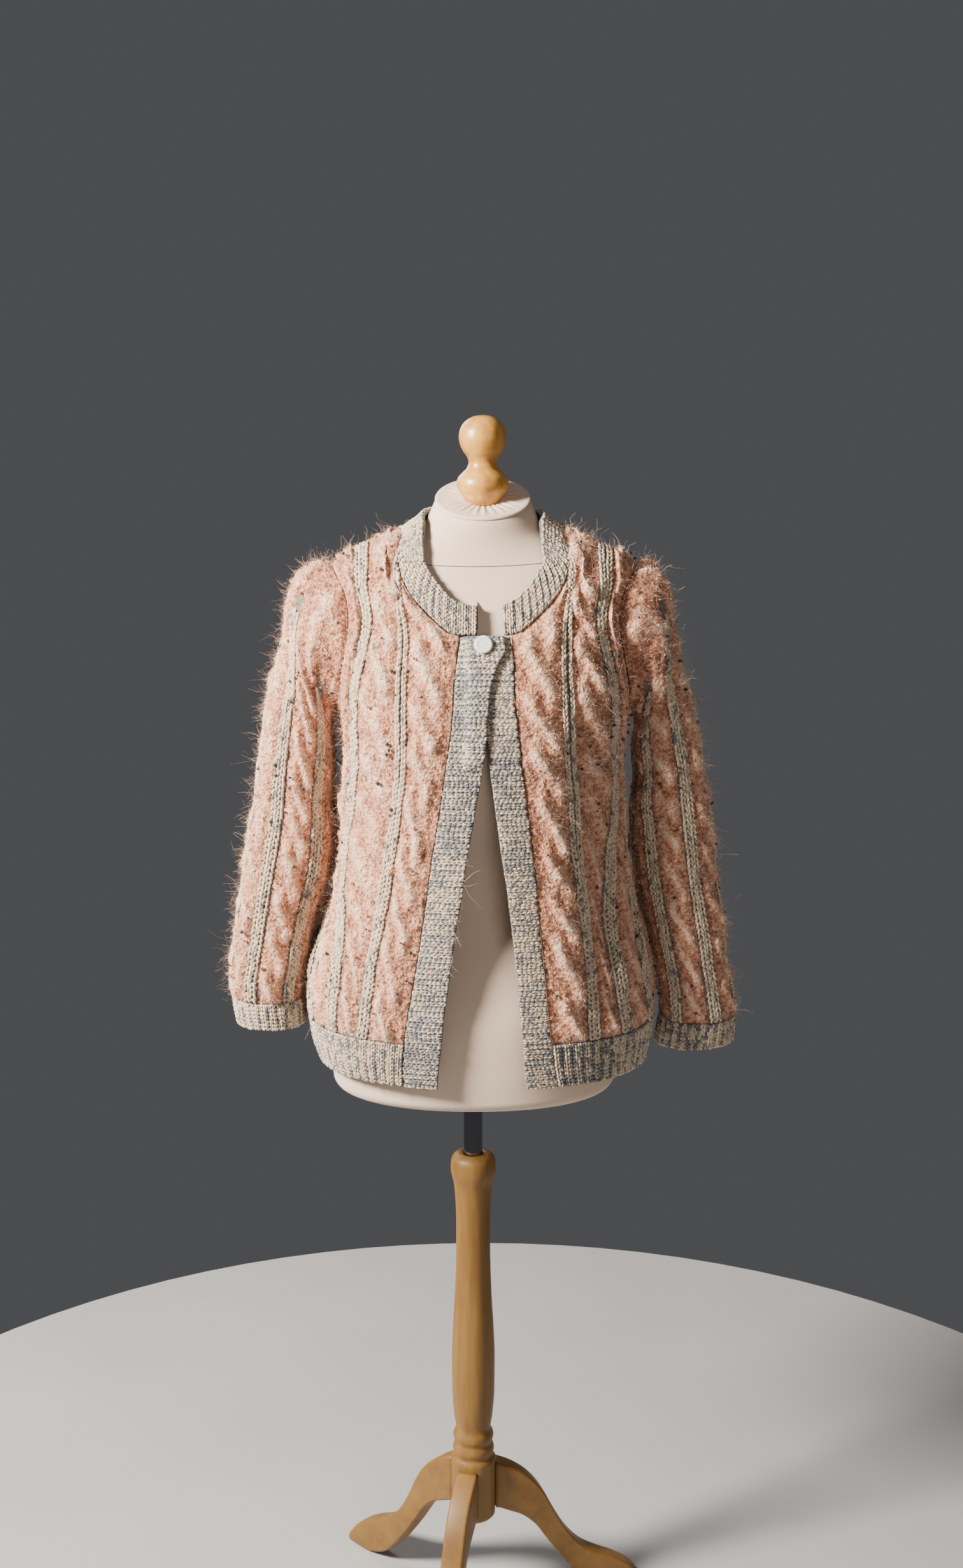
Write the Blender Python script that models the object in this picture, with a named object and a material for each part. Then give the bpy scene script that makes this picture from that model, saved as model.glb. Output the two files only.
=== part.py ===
"""Cable knit cardigan standing on a limbless dress form with a turned wooden stand.

Units are metres, +Z is up and the floor is z = 0. The garment faces -Y, and +X is the
wearer's left. The garment's own surface is a stack of rounded sections; every cloth
piece is a wall between an inner skin on that surface and an outer skin with the knit
relief. Lengths along a section are measured from the centre front or centre back.
"""

import math

import bmesh
import bpy
import numpy as np

# Cloth
WALL = 0.0032
SEAM = 0.0004
EDGE_SEAM = 0.0011
CLOTH_BUILD = 0.0065
CABLE_RISE = 0.0055
CABLE_PITCH = 0.060
CHAIN_RISE = 0.0030
RIB_RISE = 0.0018
RIB_PITCH = 0.0120
NECK_RIB_PITCH = 0.0095

# Heights of the garment
HEM_BOTTOM = 0.800
HEM_TOP = 0.856
ARMPIT = 1.236
SHOULDER_TIP = 1.4120
BAND_TOP = 1.3410
LAP_BOTTOM = 1.205
UPRIGHT_FROM = 1.3300

# Where the whole object stands, so that its box is centred on the origin
PLACE_X = 0.0011
PLACE_Y = 0.0280

# Stand
POLE_X = -0.0137
LEAN = 0.0147
POLE_RADIUS = 0.0120
POLE_BOTTOM = 0.325
POLE_TOP = 0.820
BORE_RADIUS = 0.0125
BORE_BOTTOM = 0.235
COLLAR_TOP = 0.660
LEG_SEAT = 0.0303
LEG_HALF = 0.0140
LEG_CHAMFER = 0.0030
LEG_DIRECTIONS = (("leg_left_back", 135.0), ("leg_front", 255.0), ("leg_right", 15.0))

# Neck cap of the form
CAP_CENTRE_Z = 1.4935
CAP_SLOPE = 0.384
CAP_THICK = 0.0040
NECK_RADIUS = 0.0570

# Button
BUTTON_S = -0.0008
BUTTON_Z = 1.3310
BUTTON_RADIUS = 0.0107
BUTTON_THICK = 0.0040
SHANK_RADIUS = 0.0018
BUTTONHOLE = 0.0056
BAND_ROWS = 30

# height, centre x, half width, depth in front, depth behind, squareness
GARMENT = (
    (0.790, 0.000, 0.203, 0.142, 0.134, 2.30),
    (0.831, -0.003, 0.214, 0.147, 0.140, 2.30),
    (0.878, -0.003, 0.2195, 0.150, 0.143, 2.30),
    (0.928, -0.001, 0.2155, 0.150, 0.141, 2.30),
    (0.983, 0.000, 0.198, 0.149, 0.136, 2.30),
    (1.037, 0.000, 0.185, 0.148, 0.130, 2.30),
    (1.100, -0.002, 0.176, 0.148, 0.124, 2.30),
    (1.180, -0.002, 0.173, 0.148, 0.122, 2.35),
    (1.240, 0.000, 0.180, 0.145, 0.122, 2.40),
    (1.300, 0.000, 0.189, 0.131, 0.124, 2.40),
    (1.350, 0.000, 0.191, 0.113, 0.122, 2.35),
    (1.380, 0.000, 0.191, 0.099, 0.114, 2.30),
    (1.400, 0.000, 0.190, 0.088, 0.102, 2.20),
    (1.417, 0.000, 0.182, 0.077, 0.088, 2.10),
    (1.430, -0.001, 0.158, 0.070, 0.078, 2.05),
    (1.442, -0.002, 0.128, 0.066, 0.073, 2.00),
    (1.454, -0.002, 0.100, 0.064, 0.071, 2.00),
    (1.466, -0.002, 0.081, 0.063, 0.069, 2.00),
    (1.480, -0.001, 0.068, 0.061, 0.067, 2.00),
)

# height, half width, depth in front, depth behind, squareness
FORM = (
    (0.7740, 0.1780, 0.1200, 0.1180, 2.20),
    (0.8100, 0.1830, 0.1240, 0.1240, 2.20),
    (0.8600, 0.1860, 0.1260, 0.1280, 2.20),
    (0.9300, 0.1770, 0.1180, 0.1190, 2.20),
    (1.0300, 0.1400, 0.1000, 0.0880, 2.15),
    (1.1000, 0.1420, 0.1080, 0.0880, 2.15),
    (1.1700, 0.1530, 0.1250, 0.0960, 2.20),
    (1.2200, 0.1580, 0.1300, 0.1010, 2.25),
    (1.2800, 0.1620, 0.1180, 0.1050, 2.25),
    (1.3400, 0.1680, 0.1020, 0.1040, 2.20),
    (1.3800, 0.1680, 0.0865, 0.0920, 2.15),
    (1.4000, 0.1670, 0.0765, 0.0810, 2.10),
    (1.4140, 0.1620, 0.0685, 0.0720, 2.05),
    (1.4260, 0.1440, 0.0620, 0.0665, 2.00),
    (1.4360, 0.1150, 0.0575, 0.0625, 2.00),
    (1.4440, 0.0962, 0.0565, 0.0610, 2.00),
    (1.4520, 0.0805, 0.0550, 0.0600, 2.00),
    (1.4640, 0.0680, 0.0545, 0.0590, 2.00),
)

# height, inner edge and outer edge of the wearer's right front band, along the section
RIGHT_BAND = (
    (0.800, -0.0545, -0.0965),
    (0.8545, -0.0475, -0.0917),
    (0.903, -0.0435, -0.0859),
    (0.981, -0.0350, -0.0746),
    (1.058, -0.0225, -0.0631),
    (1.138, -0.0086, -0.0491),
    (1.213, 0.0025, -0.0395),
    (1.263, 0.0052, -0.0350),
    (1.290, 0.0090, -0.0337),
    (1.3127, 0.0175, -0.0310),
    (1.3245, 0.0240, -0.0295),
    (1.341, 0.0226, -0.0264),
)
LEFT_BAND = (
    (0.800, 0.0519, 0.0900),
    (0.853, 0.0495, 0.0840),
    (0.926, 0.0412, 0.0738),
    (1.0155, 0.0305, 0.0638),
    (1.087, 0.0222, 0.0584),
    (1.1585, 0.0130, 0.0500),
    (1.2326, 0.0030, 0.0395),
    (1.2723, -0.0030, 0.0350),
    (1.3125, -0.0075, 0.0336),
    (1.341, -0.0080, 0.0300),
)

# height, first chain column, second chain column, along the section from centre front
RIGHT_COLUMNS = (
    (0.856, 0.1460, 0.1900),
    (0.889, 0.1425, 0.1905),
    (0.954, 0.1365, 0.1885),
    (1.006, 0.1265, 0.1935),
    (1.041, 0.1190, 0.2010),
    (1.088, 0.1105, 0.1940),
    (1.130, 0.1030, 0.1800),
    (1.190, 0.0955, 0.1680),
    (1.250, 0.0965, 0.1660),
    (1.390, 0.0897, 0.1650),
)
LEFT_COLUMNS = (
    (0.856, 0.1380, 0.1850),
    (0.899, 0.1365, 0.1760),
    (0.944, 0.1315, 0.1690),
    (0.996, 0.1245, 0.1640),
    (1.062, 0.1165, 0.1710),
    (1.112, 0.1114, 0.1805),
    (1.147, 0.1085, 0.1850),
    (1.202, 0.1025, 0.1800),
    (1.272, 0.0970, 0.1740),
    (1.390, 0.0950, 0.1740),
)

# angle round from centre front in degrees, height of the neckline, height of the band's free edge
NECKLINE = (
    (1.2, 1.3415, 1.3740),
    (5.0, 1.3415, 1.3765),
    (8.5, 1.3430, 1.3815),
    (12.0, 1.3500, 1.3900),
    (18.0, 1.3665, 1.4080),
    (23.5, 1.3820, 1.4230),
    (28.0, 1.3980, 1.4335),
    (32.5, 1.4140, 1.4400),
    (38.0, 1.4250, 1.4465),
    (50.0, 1.4400, 1.4570),
    (65.0, 1.4490, 1.4665),
    (90.0, 1.4530, 1.4730),
    (120.0, 1.4500, 1.4760),
    (150.0, 1.4420, 1.4740),
    (180.0, 1.4390, 1.4730),
)

# The armhole seam is an oval: its half depth from the side line in front, and behind
ARMHOLE_FRONT = 0.0680
ARMHOLE_BACK = 0.0660

# share of the sleeve, outer x, outer z, under x, under z, half depth, centre y
RIGHT_SLEEVE = (
    (0.000, 0.1790, 1.4150, 0.1762, 1.2365, 0.0620, 0.000),
    (0.035, 0.2000, 1.4130, 0.1792, 1.2395, 0.0625, 0.000),
    (0.070, 0.2140, 1.4060, 0.1822, 1.2370, 0.0620, 0.000),
    (0.110, 0.2240, 1.3920, 0.1842, 1.2290, 0.0610, 0.000),
    (0.170, 0.2325, 1.3660, 0.1850, 1.2170, 0.0600, 0.000),
    (0.260, 0.2400, 1.3160, 0.1850, 1.1960, 0.0590, 0.001),
    (0.360, 0.2580, 1.2620, 0.1845, 1.1630, 0.0580, 0.002),
    (0.470, 0.2715, 1.1900, 0.1840, 1.1180, 0.0560, 0.003),
    (0.580, 0.2845, 1.1080, 0.1865, 1.0630, 0.0540, 0.004),
    (0.700, 0.2985, 1.0240, 0.1995, 0.9980, 0.0520, 0.005),
    (0.820, 0.3095, 0.9450, 0.2165, 0.9360, 0.0490, 0.006),
    (0.930, 0.3155, 0.8930, 0.2265, 0.8900, 0.0460, 0.006),
    (1.000, 0.3150, 0.8740, 0.2280, 0.8720, 0.0450, 0.006),
)
LEFT_SLEEVE = (
    (0.000, 0.1790, 1.4150, 0.1762, 1.2365, 0.0620, 0.000),
    (0.035, 0.1970, 1.4120, 0.1792, 1.2395, 0.0625, 0.000),
    (0.070, 0.2080, 1.4020, 0.1822, 1.2370, 0.0620, 0.000),
    (0.110, 0.2160, 1.3860, 0.1842, 1.2290, 0.0610, 0.000),
    (0.170, 0.2220, 1.3580, 0.1850, 1.2170, 0.0600, 0.000),
    (0.260, 0.2290, 1.3140, 0.1845, 1.1960, 0.0590, 0.001),
    (0.360, 0.2470, 1.2620, 0.1830, 1.1630, 0.0580, 0.002),
    (0.470, 0.2645, 1.1880, 0.1820, 1.1180, 0.0560, 0.003),
    (0.580, 0.2790, 1.1000, 0.1850, 1.0630, 0.0540, 0.004),
    (0.700, 0.2900, 1.0120, 0.1985, 0.9950, 0.0520, 0.005),
    (0.820, 0.3000, 0.9350, 0.2150, 0.9250, 0.0490, 0.005),
    (0.930, 0.3110, 0.8760, 0.2235, 0.8720, 0.0460, 0.005),
    (1.000, 0.3155, 0.8490, 0.2240, 0.8460, 0.0450, 0.005),
)
# name, side, sleeve table, outer x, outer z, under x, under z and half depth of the cuff's free edge
CUFF_ENDS = {
    -1: (0.3085, 0.8385, 0.2270, 0.8370, 0.0425),
    1: (0.3125, 0.8150, 0.2180, 0.8110, 0.0430),
}

# side, distance from centre front, height, half length, half width, depth of a soft hollow
FOLDS = (
    (1, 0.145, 1.010, 0.120, 0.026, 0.012),
    (1, 0.212, 0.930, 0.090, 0.022, 0.006),
    (1, 0.120, 1.200, 0.075, 0.022, 0.004),
    (-1, 0.155, 0.985, 0.110, 0.024, 0.007),
    (-1, 0.122, 1.130, 0.080, 0.022, 0.004),
    (-1, 0.225, 1.010, 0.090, 0.022, 0.005),
)
# side, distance from centre back, height, half length, half width, depth
BACK_FOLDS = (
    (-1, 0.060, 0.985, 0.110, 0.026, 0.006),
    (1, 0.092, 1.020, 0.130, 0.028, 0.007),
    (1, 0.190, 0.940, 0.100, 0.024, 0.006),
    (-1, 0.175, 1.060, 0.090, 0.026, 0.006),
    (-1, 0.020, 1.240, 0.070, 0.026, 0.004),
)
# side, share of the sleeve, index round it, half length, half width in steps, depth
SLEEVE_FOLDS = (
    (-1, 0.46, 9.0, 0.050, 3.0, 0.0055),
    (-1, 0.56, 5.0, 0.045, 2.6, 0.005),
    (-1, 0.74, 10.0, 0.060, 2.8, 0.004),
    (-1, 0.52, 21.0, 0.055, 3.0, 0.006),
    (1, 0.40, 10.5, 0.050, 3.0, 0.007),
    (1, 0.55, 7.5, 0.050, 2.6, 0.004),
    (1, 0.68, 4.0, 0.055, 2.8, 0.005),
    (1, 0.50, 22.0, 0.060, 3.0, 0.006),
)

# radius, height up the wooden column
COLUMN = (
    (0.0210, 0.6600),
    (0.0258, 0.6565),
    (0.0283, 0.6500),
    (0.0288, 0.6420),
    (0.0284, 0.6345),
    (0.0266, 0.6270),
    (0.0243, 0.6150),
    (0.0219, 0.5650),
    (0.0220, 0.5280),
    (0.0238, 0.4660),
    (0.0264, 0.4205),
    (0.0281, 0.3750),
    (0.0278, 0.3290),
    (0.0253, 0.2930),
    (0.0228, 0.2740),
    (0.0256, 0.2680),
    (0.0266, 0.2630),
    (0.0256, 0.2580),
    (0.0236, 0.2550),
    (0.0262, 0.2495),
    (0.0274, 0.2440),
    (0.0262, 0.2385),
    (0.0246, 0.2355),
    (0.0290, 0.2310),
    (0.0292, 0.2250),
    (0.0290, 0.1500),
    (0.0262, 0.1460),
)
FINIAL = (
    (0.0255, 1.4960),
    (0.0300, 1.5030),
    (0.0312, 1.5090),
    (0.0296, 1.5160),
    (0.0240, 1.5225),
    (0.0190, 1.5275),
    (0.0168, 1.5345),
    (0.0186, 1.5405),
    (0.0232, 1.5470),
    (0.0270, 1.5550),
    (0.0284, 1.5625),
    (0.0274, 1.5710),
    (0.0236, 1.5790),
    (0.0170, 1.5850),
    (0.0085, 1.5885),
    (0.0022, 1.5893),
)
# radius and height of the top edge, radius and height of the lower edge
LEG = (
    (0.0303, 0.2220, 0.0303, 0.1560),
    (0.0520, 0.2110, 0.0470, 0.1480),
    (0.0720, 0.1960, 0.0660, 0.1380),
    (0.0880, 0.1780, 0.0830, 0.1220),
    (0.1000, 0.1580, 0.0960, 0.1030),
    (0.1130, 0.1320, 0.1100, 0.0820),
    (0.1290, 0.1040, 0.1260, 0.0600),
    (0.1490, 0.0800, 0.1430, 0.0380),
    (0.1710, 0.0650, 0.1620, 0.0180),
    (0.1960, 0.0520, 0.1840, 0.0060),
    (0.2200, 0.0360, 0.2060, 0.0000),
    (0.2350, 0.0180, 0.2320, 0.0000),
)


def curve(xs, ys, x):
    """A smooth curve through the points that never overshoots them."""
    xs = np.asarray(xs, float)
    ys = np.asarray(ys, float)
    step = np.diff(xs)
    slope = np.diff(ys) / step
    tangent = np.zeros(len(xs))
    both = slope[:-1] + slope[1:]
    safe = np.where(both == 0, 1, both)
    tangent[1:-1] = np.where(slope[:-1] * slope[1:] > 0, 2 * slope[:-1] * slope[1:] / safe, 0)
    tangent[0] = slope[0]
    tangent[-1] = slope[-1]
    x = np.clip(np.asarray(x, float), xs[0], xs[-1])
    i = np.clip(np.searchsorted(xs, x, side="right") - 1, 0, len(xs) - 2)
    t = (x - xs[i]) / step[i]
    rise = t * t * (3 - 2 * t)
    bend = step[i] * (t * (1 - t) ** 2 * tangent[i] - t * t * (1 - t) * tangent[i + 1])
    return ys[i] * (1 - rise) + ys[i + 1] * rise + bend


def column(table, index, x):
    rows = np.array(table)
    return curve(rows[:, 0], rows[:, index], x)


def smooth(t):
    t = np.clip(t, 0, 1)
    return t * t * (3 - 2 * t)


HEIGHTS = np.arange(0.789, 1.4811, 0.0005)
SECTIONS = [column(GARMENT, k, HEIGHTS) - (CLOTH_BUILD if k in (2, 3, 4) else 0) for k in range(1, 6)]
ANGLES = np.linspace(0, math.pi / 2, 121)
SIN = np.sin(ANGLES)
COS = np.cos(ANGLES)


def section(z):
    """Centre, half width, front depth, back depth and squareness of the inner skin at a height."""
    at = min(max((z - HEIGHTS[0]) / 0.0005, 0.0), len(HEIGHTS) - 1.001)
    low = int(at)
    share = at - low
    return [float(row[low] * (1 - share) + row[low + 1] * share) for row in SECTIONS]


def quarter(z, is_front):
    """Points of a quarter section from its centre to the side, and the length along it."""
    centre, half, front, behind, power = section(z)
    depth = front if is_front else behind
    x = half * SIN ** (2 / power)
    y = depth * np.maximum(COS, 0) ** (2 / power)
    length = np.concatenate([[0], np.cumsum(np.hypot(np.diff(x), np.diff(y)))])
    return float(centre), x, y, length


def side_length(z, is_front=True):
    return quarter(z, is_front)[3][-1]


def shell_point(z, s, is_front=True):
    """Point of the garment surface at a height and a signed length from the centre line."""
    centre, x, y, length = quarter(z, is_front)
    across = np.interp(abs(s), length, x)
    out = np.interp(abs(s), length, y)
    return np.array([centre + math.copysign(across, s), -out if is_front else out, z])


def length_at(x, z, is_front=True):
    centre, across, _, length = quarter(z, is_front)
    return float(np.interp(abs(x - centre), across, length))


def shell_normal(point):
    """Outward direction of the garment surface at a point on it."""
    x, y, z = point

    def level(a, b, c):
        centre, half, front, behind, power = section(c)
        depth = front if b < 0 else behind
        return (abs(a - centre) / half) ** power + (abs(b) / depth) ** power

    step = 5e-4
    gradient = np.array(
        [
            level(x + step, y, z) - level(x - step, y, z),
            level(x, y + step, z) - level(x, y - step, z),
            level(x, y, z + step) - level(x, y, z - step),
        ]
    )
    return gradient / np.linalg.norm(gradient)


def angle_point(z, degrees):
    """Point of the garment surface at a height and an angle round from the centre front."""
    centre, half, front, behind, power = section(z)
    a = math.radians(degrees)
    x = half * math.copysign(abs(math.sin(a)) ** (2 / power), math.sin(a))
    depth = front if math.cos(a) > 0 else behind
    y = -depth * math.copysign(abs(math.cos(a)) ** (2 / power), math.cos(a))
    return np.array([float(centre) + x, y, z])


def hollow(table, side, s, z):
    """Depth of the soft folds at a place on the front or the back."""
    depth = 0.0
    for fold_side, place, height, half_length, half_width, fall in table:
        if fold_side == side:
            along = (z - height) / half_length
            over = (s - place) / half_width
            depth += fall * math.exp(-(along**2) - over**2)
    return depth


def rope(across, along, hand):
    """Height of a two strand rope cable, 0 to 1. across runs -1 to 1 over the panel."""
    turn = along / CABLE_PITCH
    phase = turn - math.floor(turn)
    over = hand * 0.55 * math.cos(math.pi * phase)
    top = math.exp(-(((across - over) / 0.40) ** 2))
    under = math.exp(-(((across + over) / 0.40) ** 2))
    under *= 0.72 - 0.42 * math.sin(math.pi * phase)
    edge = 1 - abs(across) ** 6
    return edge * max(top, under)


def knit_rise(phase, along, hand):
    """Relief across one repeat: a chain column at phase 0, a cable over the rest."""
    phase = phase - math.floor(phase)
    if phase < 0.12 or phase > 0.88:
        near = min(phase, 1 - phase) / 0.12
        return CHAIN_RISE * (1 - near * near)
    return CABLE_RISE * rope((phase - 0.5) / 0.38, along, hand)


def merge_strip(faces, first, first_at, second, second_at):
    """Triangles between two edge lines, taken in step with their own parameters."""
    i = 0
    j = 0
    while i < len(first) - 1 or j < len(second) - 1:
        if j == len(second) - 1 or (i < len(first) - 1 and first_at[i + 1] <= second_at[j + 1]):
            faces.append((first[i], first[i + 1], second[j]))
            i += 1
        else:
            faces.append((first[i], second[j + 1], second[j]))
            j += 1


def inner_lines(count, step, keep=()):
    """Coarse lines of an inner skin between its first and last, every step-th and the kept ones."""
    picked = set(range(1, count, step)) | {count - 1} | set(keep)
    return sorted(picked)


def wall(outer, inner, rows, columns, around=False, holes=()):
    """Closed wall of a fine outer skin and an inner skin that is fine at its edges only."""
    outer = np.asarray(outer)
    inner = np.asarray(inner)
    height, width = outer.shape[:2]
    points = [tuple(p) for p in outer.reshape(-1, 3)]
    inside = {}

    def out(r, c):
        return r * width + (c % width if around else c)

    def within(r, c):
        key = (r, c % width if around else c)
        if key not in inside:
            inside[key] = len(points)
            points.append(tuple(inner[key]))
        return inside[key]

    def open_at(r, c):
        return any(a <= r < b and d <= c < e for a, b, d, e in holes)

    faces = []
    last = width if around else width - 1
    if around:
        columns = list(columns) + [width]
    for r in range(height - 1):
        for c in range(last):
            if not open_at(r, c):
                faces.append((out(r, c), out(r, c + 1), out(r + 1, c + 1), out(r + 1, c)))
    for r, r2 in zip(rows, rows[1:]):
        for c, c2 in zip(columns, columns[1:]):
            if not open_at(r, c):
                faces.append((within(r, c), within(r2, c), within(r2, c2), within(r, c2)))
    across = list(range(last + 1))
    up = list(range(height))
    for edge, line in ((0, rows[0]), (height - 1, rows[-1])):
        rim = [within(edge, c) for c in across]
        merge_strip(faces, rim, across, [within(line, c) for c in columns], columns)
        for c in range(last):
            faces.append((out(edge, c), out(edge, c + 1), within(edge, c + 1), within(edge, c)))
    if not around:
        for edge, line in ((0, columns[0]), (last, columns[-1])):
            rim = [within(r, edge) for r in up]
            merge_strip(faces, rim, up, [within(r, line) for r in rows], rows)
            for r in range(height - 1):
                faces.append((out(r, edge), out(r + 1, edge), within(r + 1, edge), within(r, edge)))
    for low, high, start, end in holes:
        ring = [(low, start), (low, end), (high, end), (high, start), (low, start)]
        for one, two in zip(ring, ring[1:]):
            faces.append((out(*one), out(*two), within(*two), within(*one)))
    return points, faces


def material(name, colour, roughness, metallic=0.0):
    made = bpy.data.materials.new(name)
    made.use_nodes = True
    shader = made.node_tree.nodes["Principled BSDF"]
    shader.inputs["Base Color"].default_value = (*colour, 1.0)
    shader.inputs["Roughness"].default_value = roughness
    shader.inputs["Metallic"].default_value = metallic
    return made


def add_object(name, points, faces, made, is_smooth=True):
    """One mesh object, moved to where the whole object stands, with its faces turned outward."""
    mesh = bpy.data.meshes.new(name)
    placed = [(x + PLACE_X, y + PLACE_Y, z) for x, y, z in points]
    mesh.from_pydata(placed, [], faces)
    work = bmesh.new()
    work.from_mesh(mesh)
    bmesh.ops.recalc_face_normals(work, faces=work.faces)
    work.to_mesh(mesh)
    work.free()
    for polygon in mesh.polygons:
        polygon.use_smooth = is_smooth
    mesh.materials.append(made)
    obj = bpy.data.objects.new(name, mesh)
    bpy.context.scene.collection.objects.link(obj)
    return obj


def loft(rings, capped_start=True, capped_end=True):
    """Faces through rings of equal count, each ring closed, with flat or fanned ends."""
    count = len(rings[0])
    points = [tuple(p) for ring in rings for p in ring]
    faces = []
    for r in range(len(rings) - 1):
        for c in range(count):
            d = (c + 1) % count
            a = r * count
            b = a + count
            faces.append((a + c, a + d, b + d, b + c))
    if capped_start:
        faces.append(tuple(range(count)))
    if capped_end:
        start = (len(rings) - 1) * count
        faces.append(tuple(range(start, start + count)))
    return points, faces


def circle(radius, z, x=0.0, y=0.0, count=32):
    turn = 2 * math.pi / count
    return [(x + radius * math.cos(turn * i), y + radius * math.sin(turn * i), z) for i in range(count)]


# Body panels

SIDE_ROWS = 20
ARM_ROWS = 12
BODY_ROWS = SIDE_ROWS + ARM_ROWS
# share of each repeat where a line of points runs
REPEAT_AT = (0.0, 0.13, 0.31, 0.5, 0.69, 0.87)
FRONT_PHASES = REPEAT_AT + tuple(1 + p for p in REPEAT_AT) + (2.0, 2.22, 2.5, 2.78, 3.0)
BACK_HALF = 13


def band_edge(side, z):
    return abs(float(column(RIGHT_BAND if side < 0 else LEFT_BAND, 2, z)))


def armhole_cut(z, is_front):
    """Length from the side line to the armhole seam at a height."""
    middle = (ARMPIT + SHOULDER_TIP) / 2
    up = (z - middle) / (SHOULDER_TIP - middle)
    if abs(up) >= 1:
        return 0.0
    depth = (ARMHOLE_FRONT if is_front else ARMHOLE_BACK) * math.sqrt(1 - up * up)
    _, _, out, length = quarter(z, is_front)
    return float(length[-1] - np.interp(-depth, -out, length))


def arm_length(z, is_front):
    """Length from the centre line to the side seam, or to the armhole seam above the armpit."""
    return side_length(z, is_front) - armhole_cut(z, is_front)


def inner_reach(z, is_front):
    """Reach of the lines inside a panel, which pass the armhole in an even sweep."""
    low = armhole_cut(1.268, is_front) * float(smooth((z - 1.10) / 0.168))
    high = armhole_cut(1.380, is_front) * (1 - float(smooth((z - 1.380) / 0.056)))
    sweep = low if z < 1.268 else (high if z > 1.380 else 0.0)
    return side_length(z, is_front) - max(armhole_cut(z, is_front), sweep)


def front_place(side, phase, z):
    """Length along the section of a line of points on a front, by its share of the repeats."""
    start = band_edge(side, z) + EDGE_SEAM
    table = RIGHT_COLUMNS if side < 0 else LEFT_COLUMNS
    reach = inner_reach(z, True) - SEAM / 2
    one = float(column(table, 1, z))
    two = min(float(column(table, 2, z)), reach - 0.35 * (reach - one))
    three = min(two + 0.056, two + 0.72 * (reach - two))
    stops = (start, one, two, three, reach)
    return float(np.interp(phase, (0, 1, 2, 3, 4), stops))


def back_place(phase, z):
    return phase * (inner_reach(z, False) - SEAM / 2)


def neck_height(degrees):
    return float(column(NECKLINE, 1, degrees))


def angle_of(x, z, is_front):
    """Angle round from the centre front of a place on a section."""
    centre, half, _, _, power = section(z)
    share = min(1.0, abs(x - centre) / half)
    turn = math.degrees(math.asin(share ** (power / 2)))
    return turn if is_front else 180 - turn


def top_edge(side, is_front):
    """Points and lengths along the neckline and on down the shoulder seam to its tip."""
    start = 90.0 * (0 if is_front else 2)
    neck = []
    if is_front:
        centre_angle = next(a for a in np.arange(0.5, 60, 0.05) if over_edge(side, a))
        turns = np.linspace(centre_angle, 90.0, 260)
    else:
        turns = np.linspace(start, 90.0, 260)
    for turn in turns:
        neck.append(angle_point(neck_height(turn), side * turn))
    top = neck_height(90.0)
    for z in np.linspace(top, SHOULDER_TIP, 120)[1:]:
        neck.append(angle_point(z, side * 90.0))
    points = np.array(neck)
    points[:, 1] += np.where(np.abs(points[:, 1]) < SEAM / 2, -SEAM / 2 if is_front else SEAM / 2, 0)
    length = np.concatenate([[0], np.cumsum(np.linalg.norm(np.diff(points, axis=0), axis=1))])
    return points, length, length[259]


def over_edge(side, turn):
    """Whether a place on the neckline lies past the outer edge of the front band."""
    z = neck_height(turn)
    point = angle_point(z, side * turn)
    return length_at(point[0], z, True) >= band_edge(side, z) + EDGE_SEAM


NECK_ANGLES = np.linspace(9.0, 90.0, 82)
NECK_POINTS = np.array([angle_point(neck_height(a), a) for a in NECK_ANGLES])


def trace(place, is_front, side, end, room, before=None):
    """Points up one line of a body panel, from the hem rib to its end on the top edge."""
    end_z = end[2]
    turn = min(UPRIGHT_FROM, end_z - 0.02)
    upright = shell_point(turn, side * place(turn), is_front)[0]
    points = []
    for share in np.concatenate([np.linspace(0, 0.8, 60), 1 - 0.2 * np.linspace(1, 0, 90)[1:] ** 2]):
        z = HEM_TOP + (end_z - HEM_TOP) * share
        if z <= turn:
            points.append(shell_point(z, side * min(place(z), side_length(z, is_front)), is_front))
            continue
        x = upright + (end[0] - upright) * float(smooth((z - turn) / (end_z - turn)))
        centre = section(z)[0]
        edge = abs(shell_point(z, side * arm_length(z, is_front), is_front)[0] - centre)
        edge -= room * min(1.0, (end_z - z) / 0.02)
        across = min(abs(x - centre), edge)
        if before is not None:
            neck = float(np.interp(z, NECK_POINTS[:, 2], np.maximum.accumulate(NECK_POINTS[:, 0])))
            if z < before[-1, 2]:
                neck = max(neck, abs(np.interp(z, before[:, 2], before[:, 0]) - centre) + centre)
            across = max(across, neck - centre + 0.0035 * min(1.0, (end_z - z) / 0.012))
        s = length_at(centre + side * across, z, is_front)
        points.append(shell_point(z, side * s, is_front))
    points[-1] = end
    return np.array(points)


def spread(points, count):
    """The same line as evenly spaced points, and the length up to each."""
    length = np.concatenate([[0], np.cumsum(np.linalg.norm(np.diff(points, axis=0), axis=1))])
    at = np.linspace(0, length[-1], count + 1)
    return np.stack([np.interp(at, length, points[:, k]) for k in range(3)], axis=1), at


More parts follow.
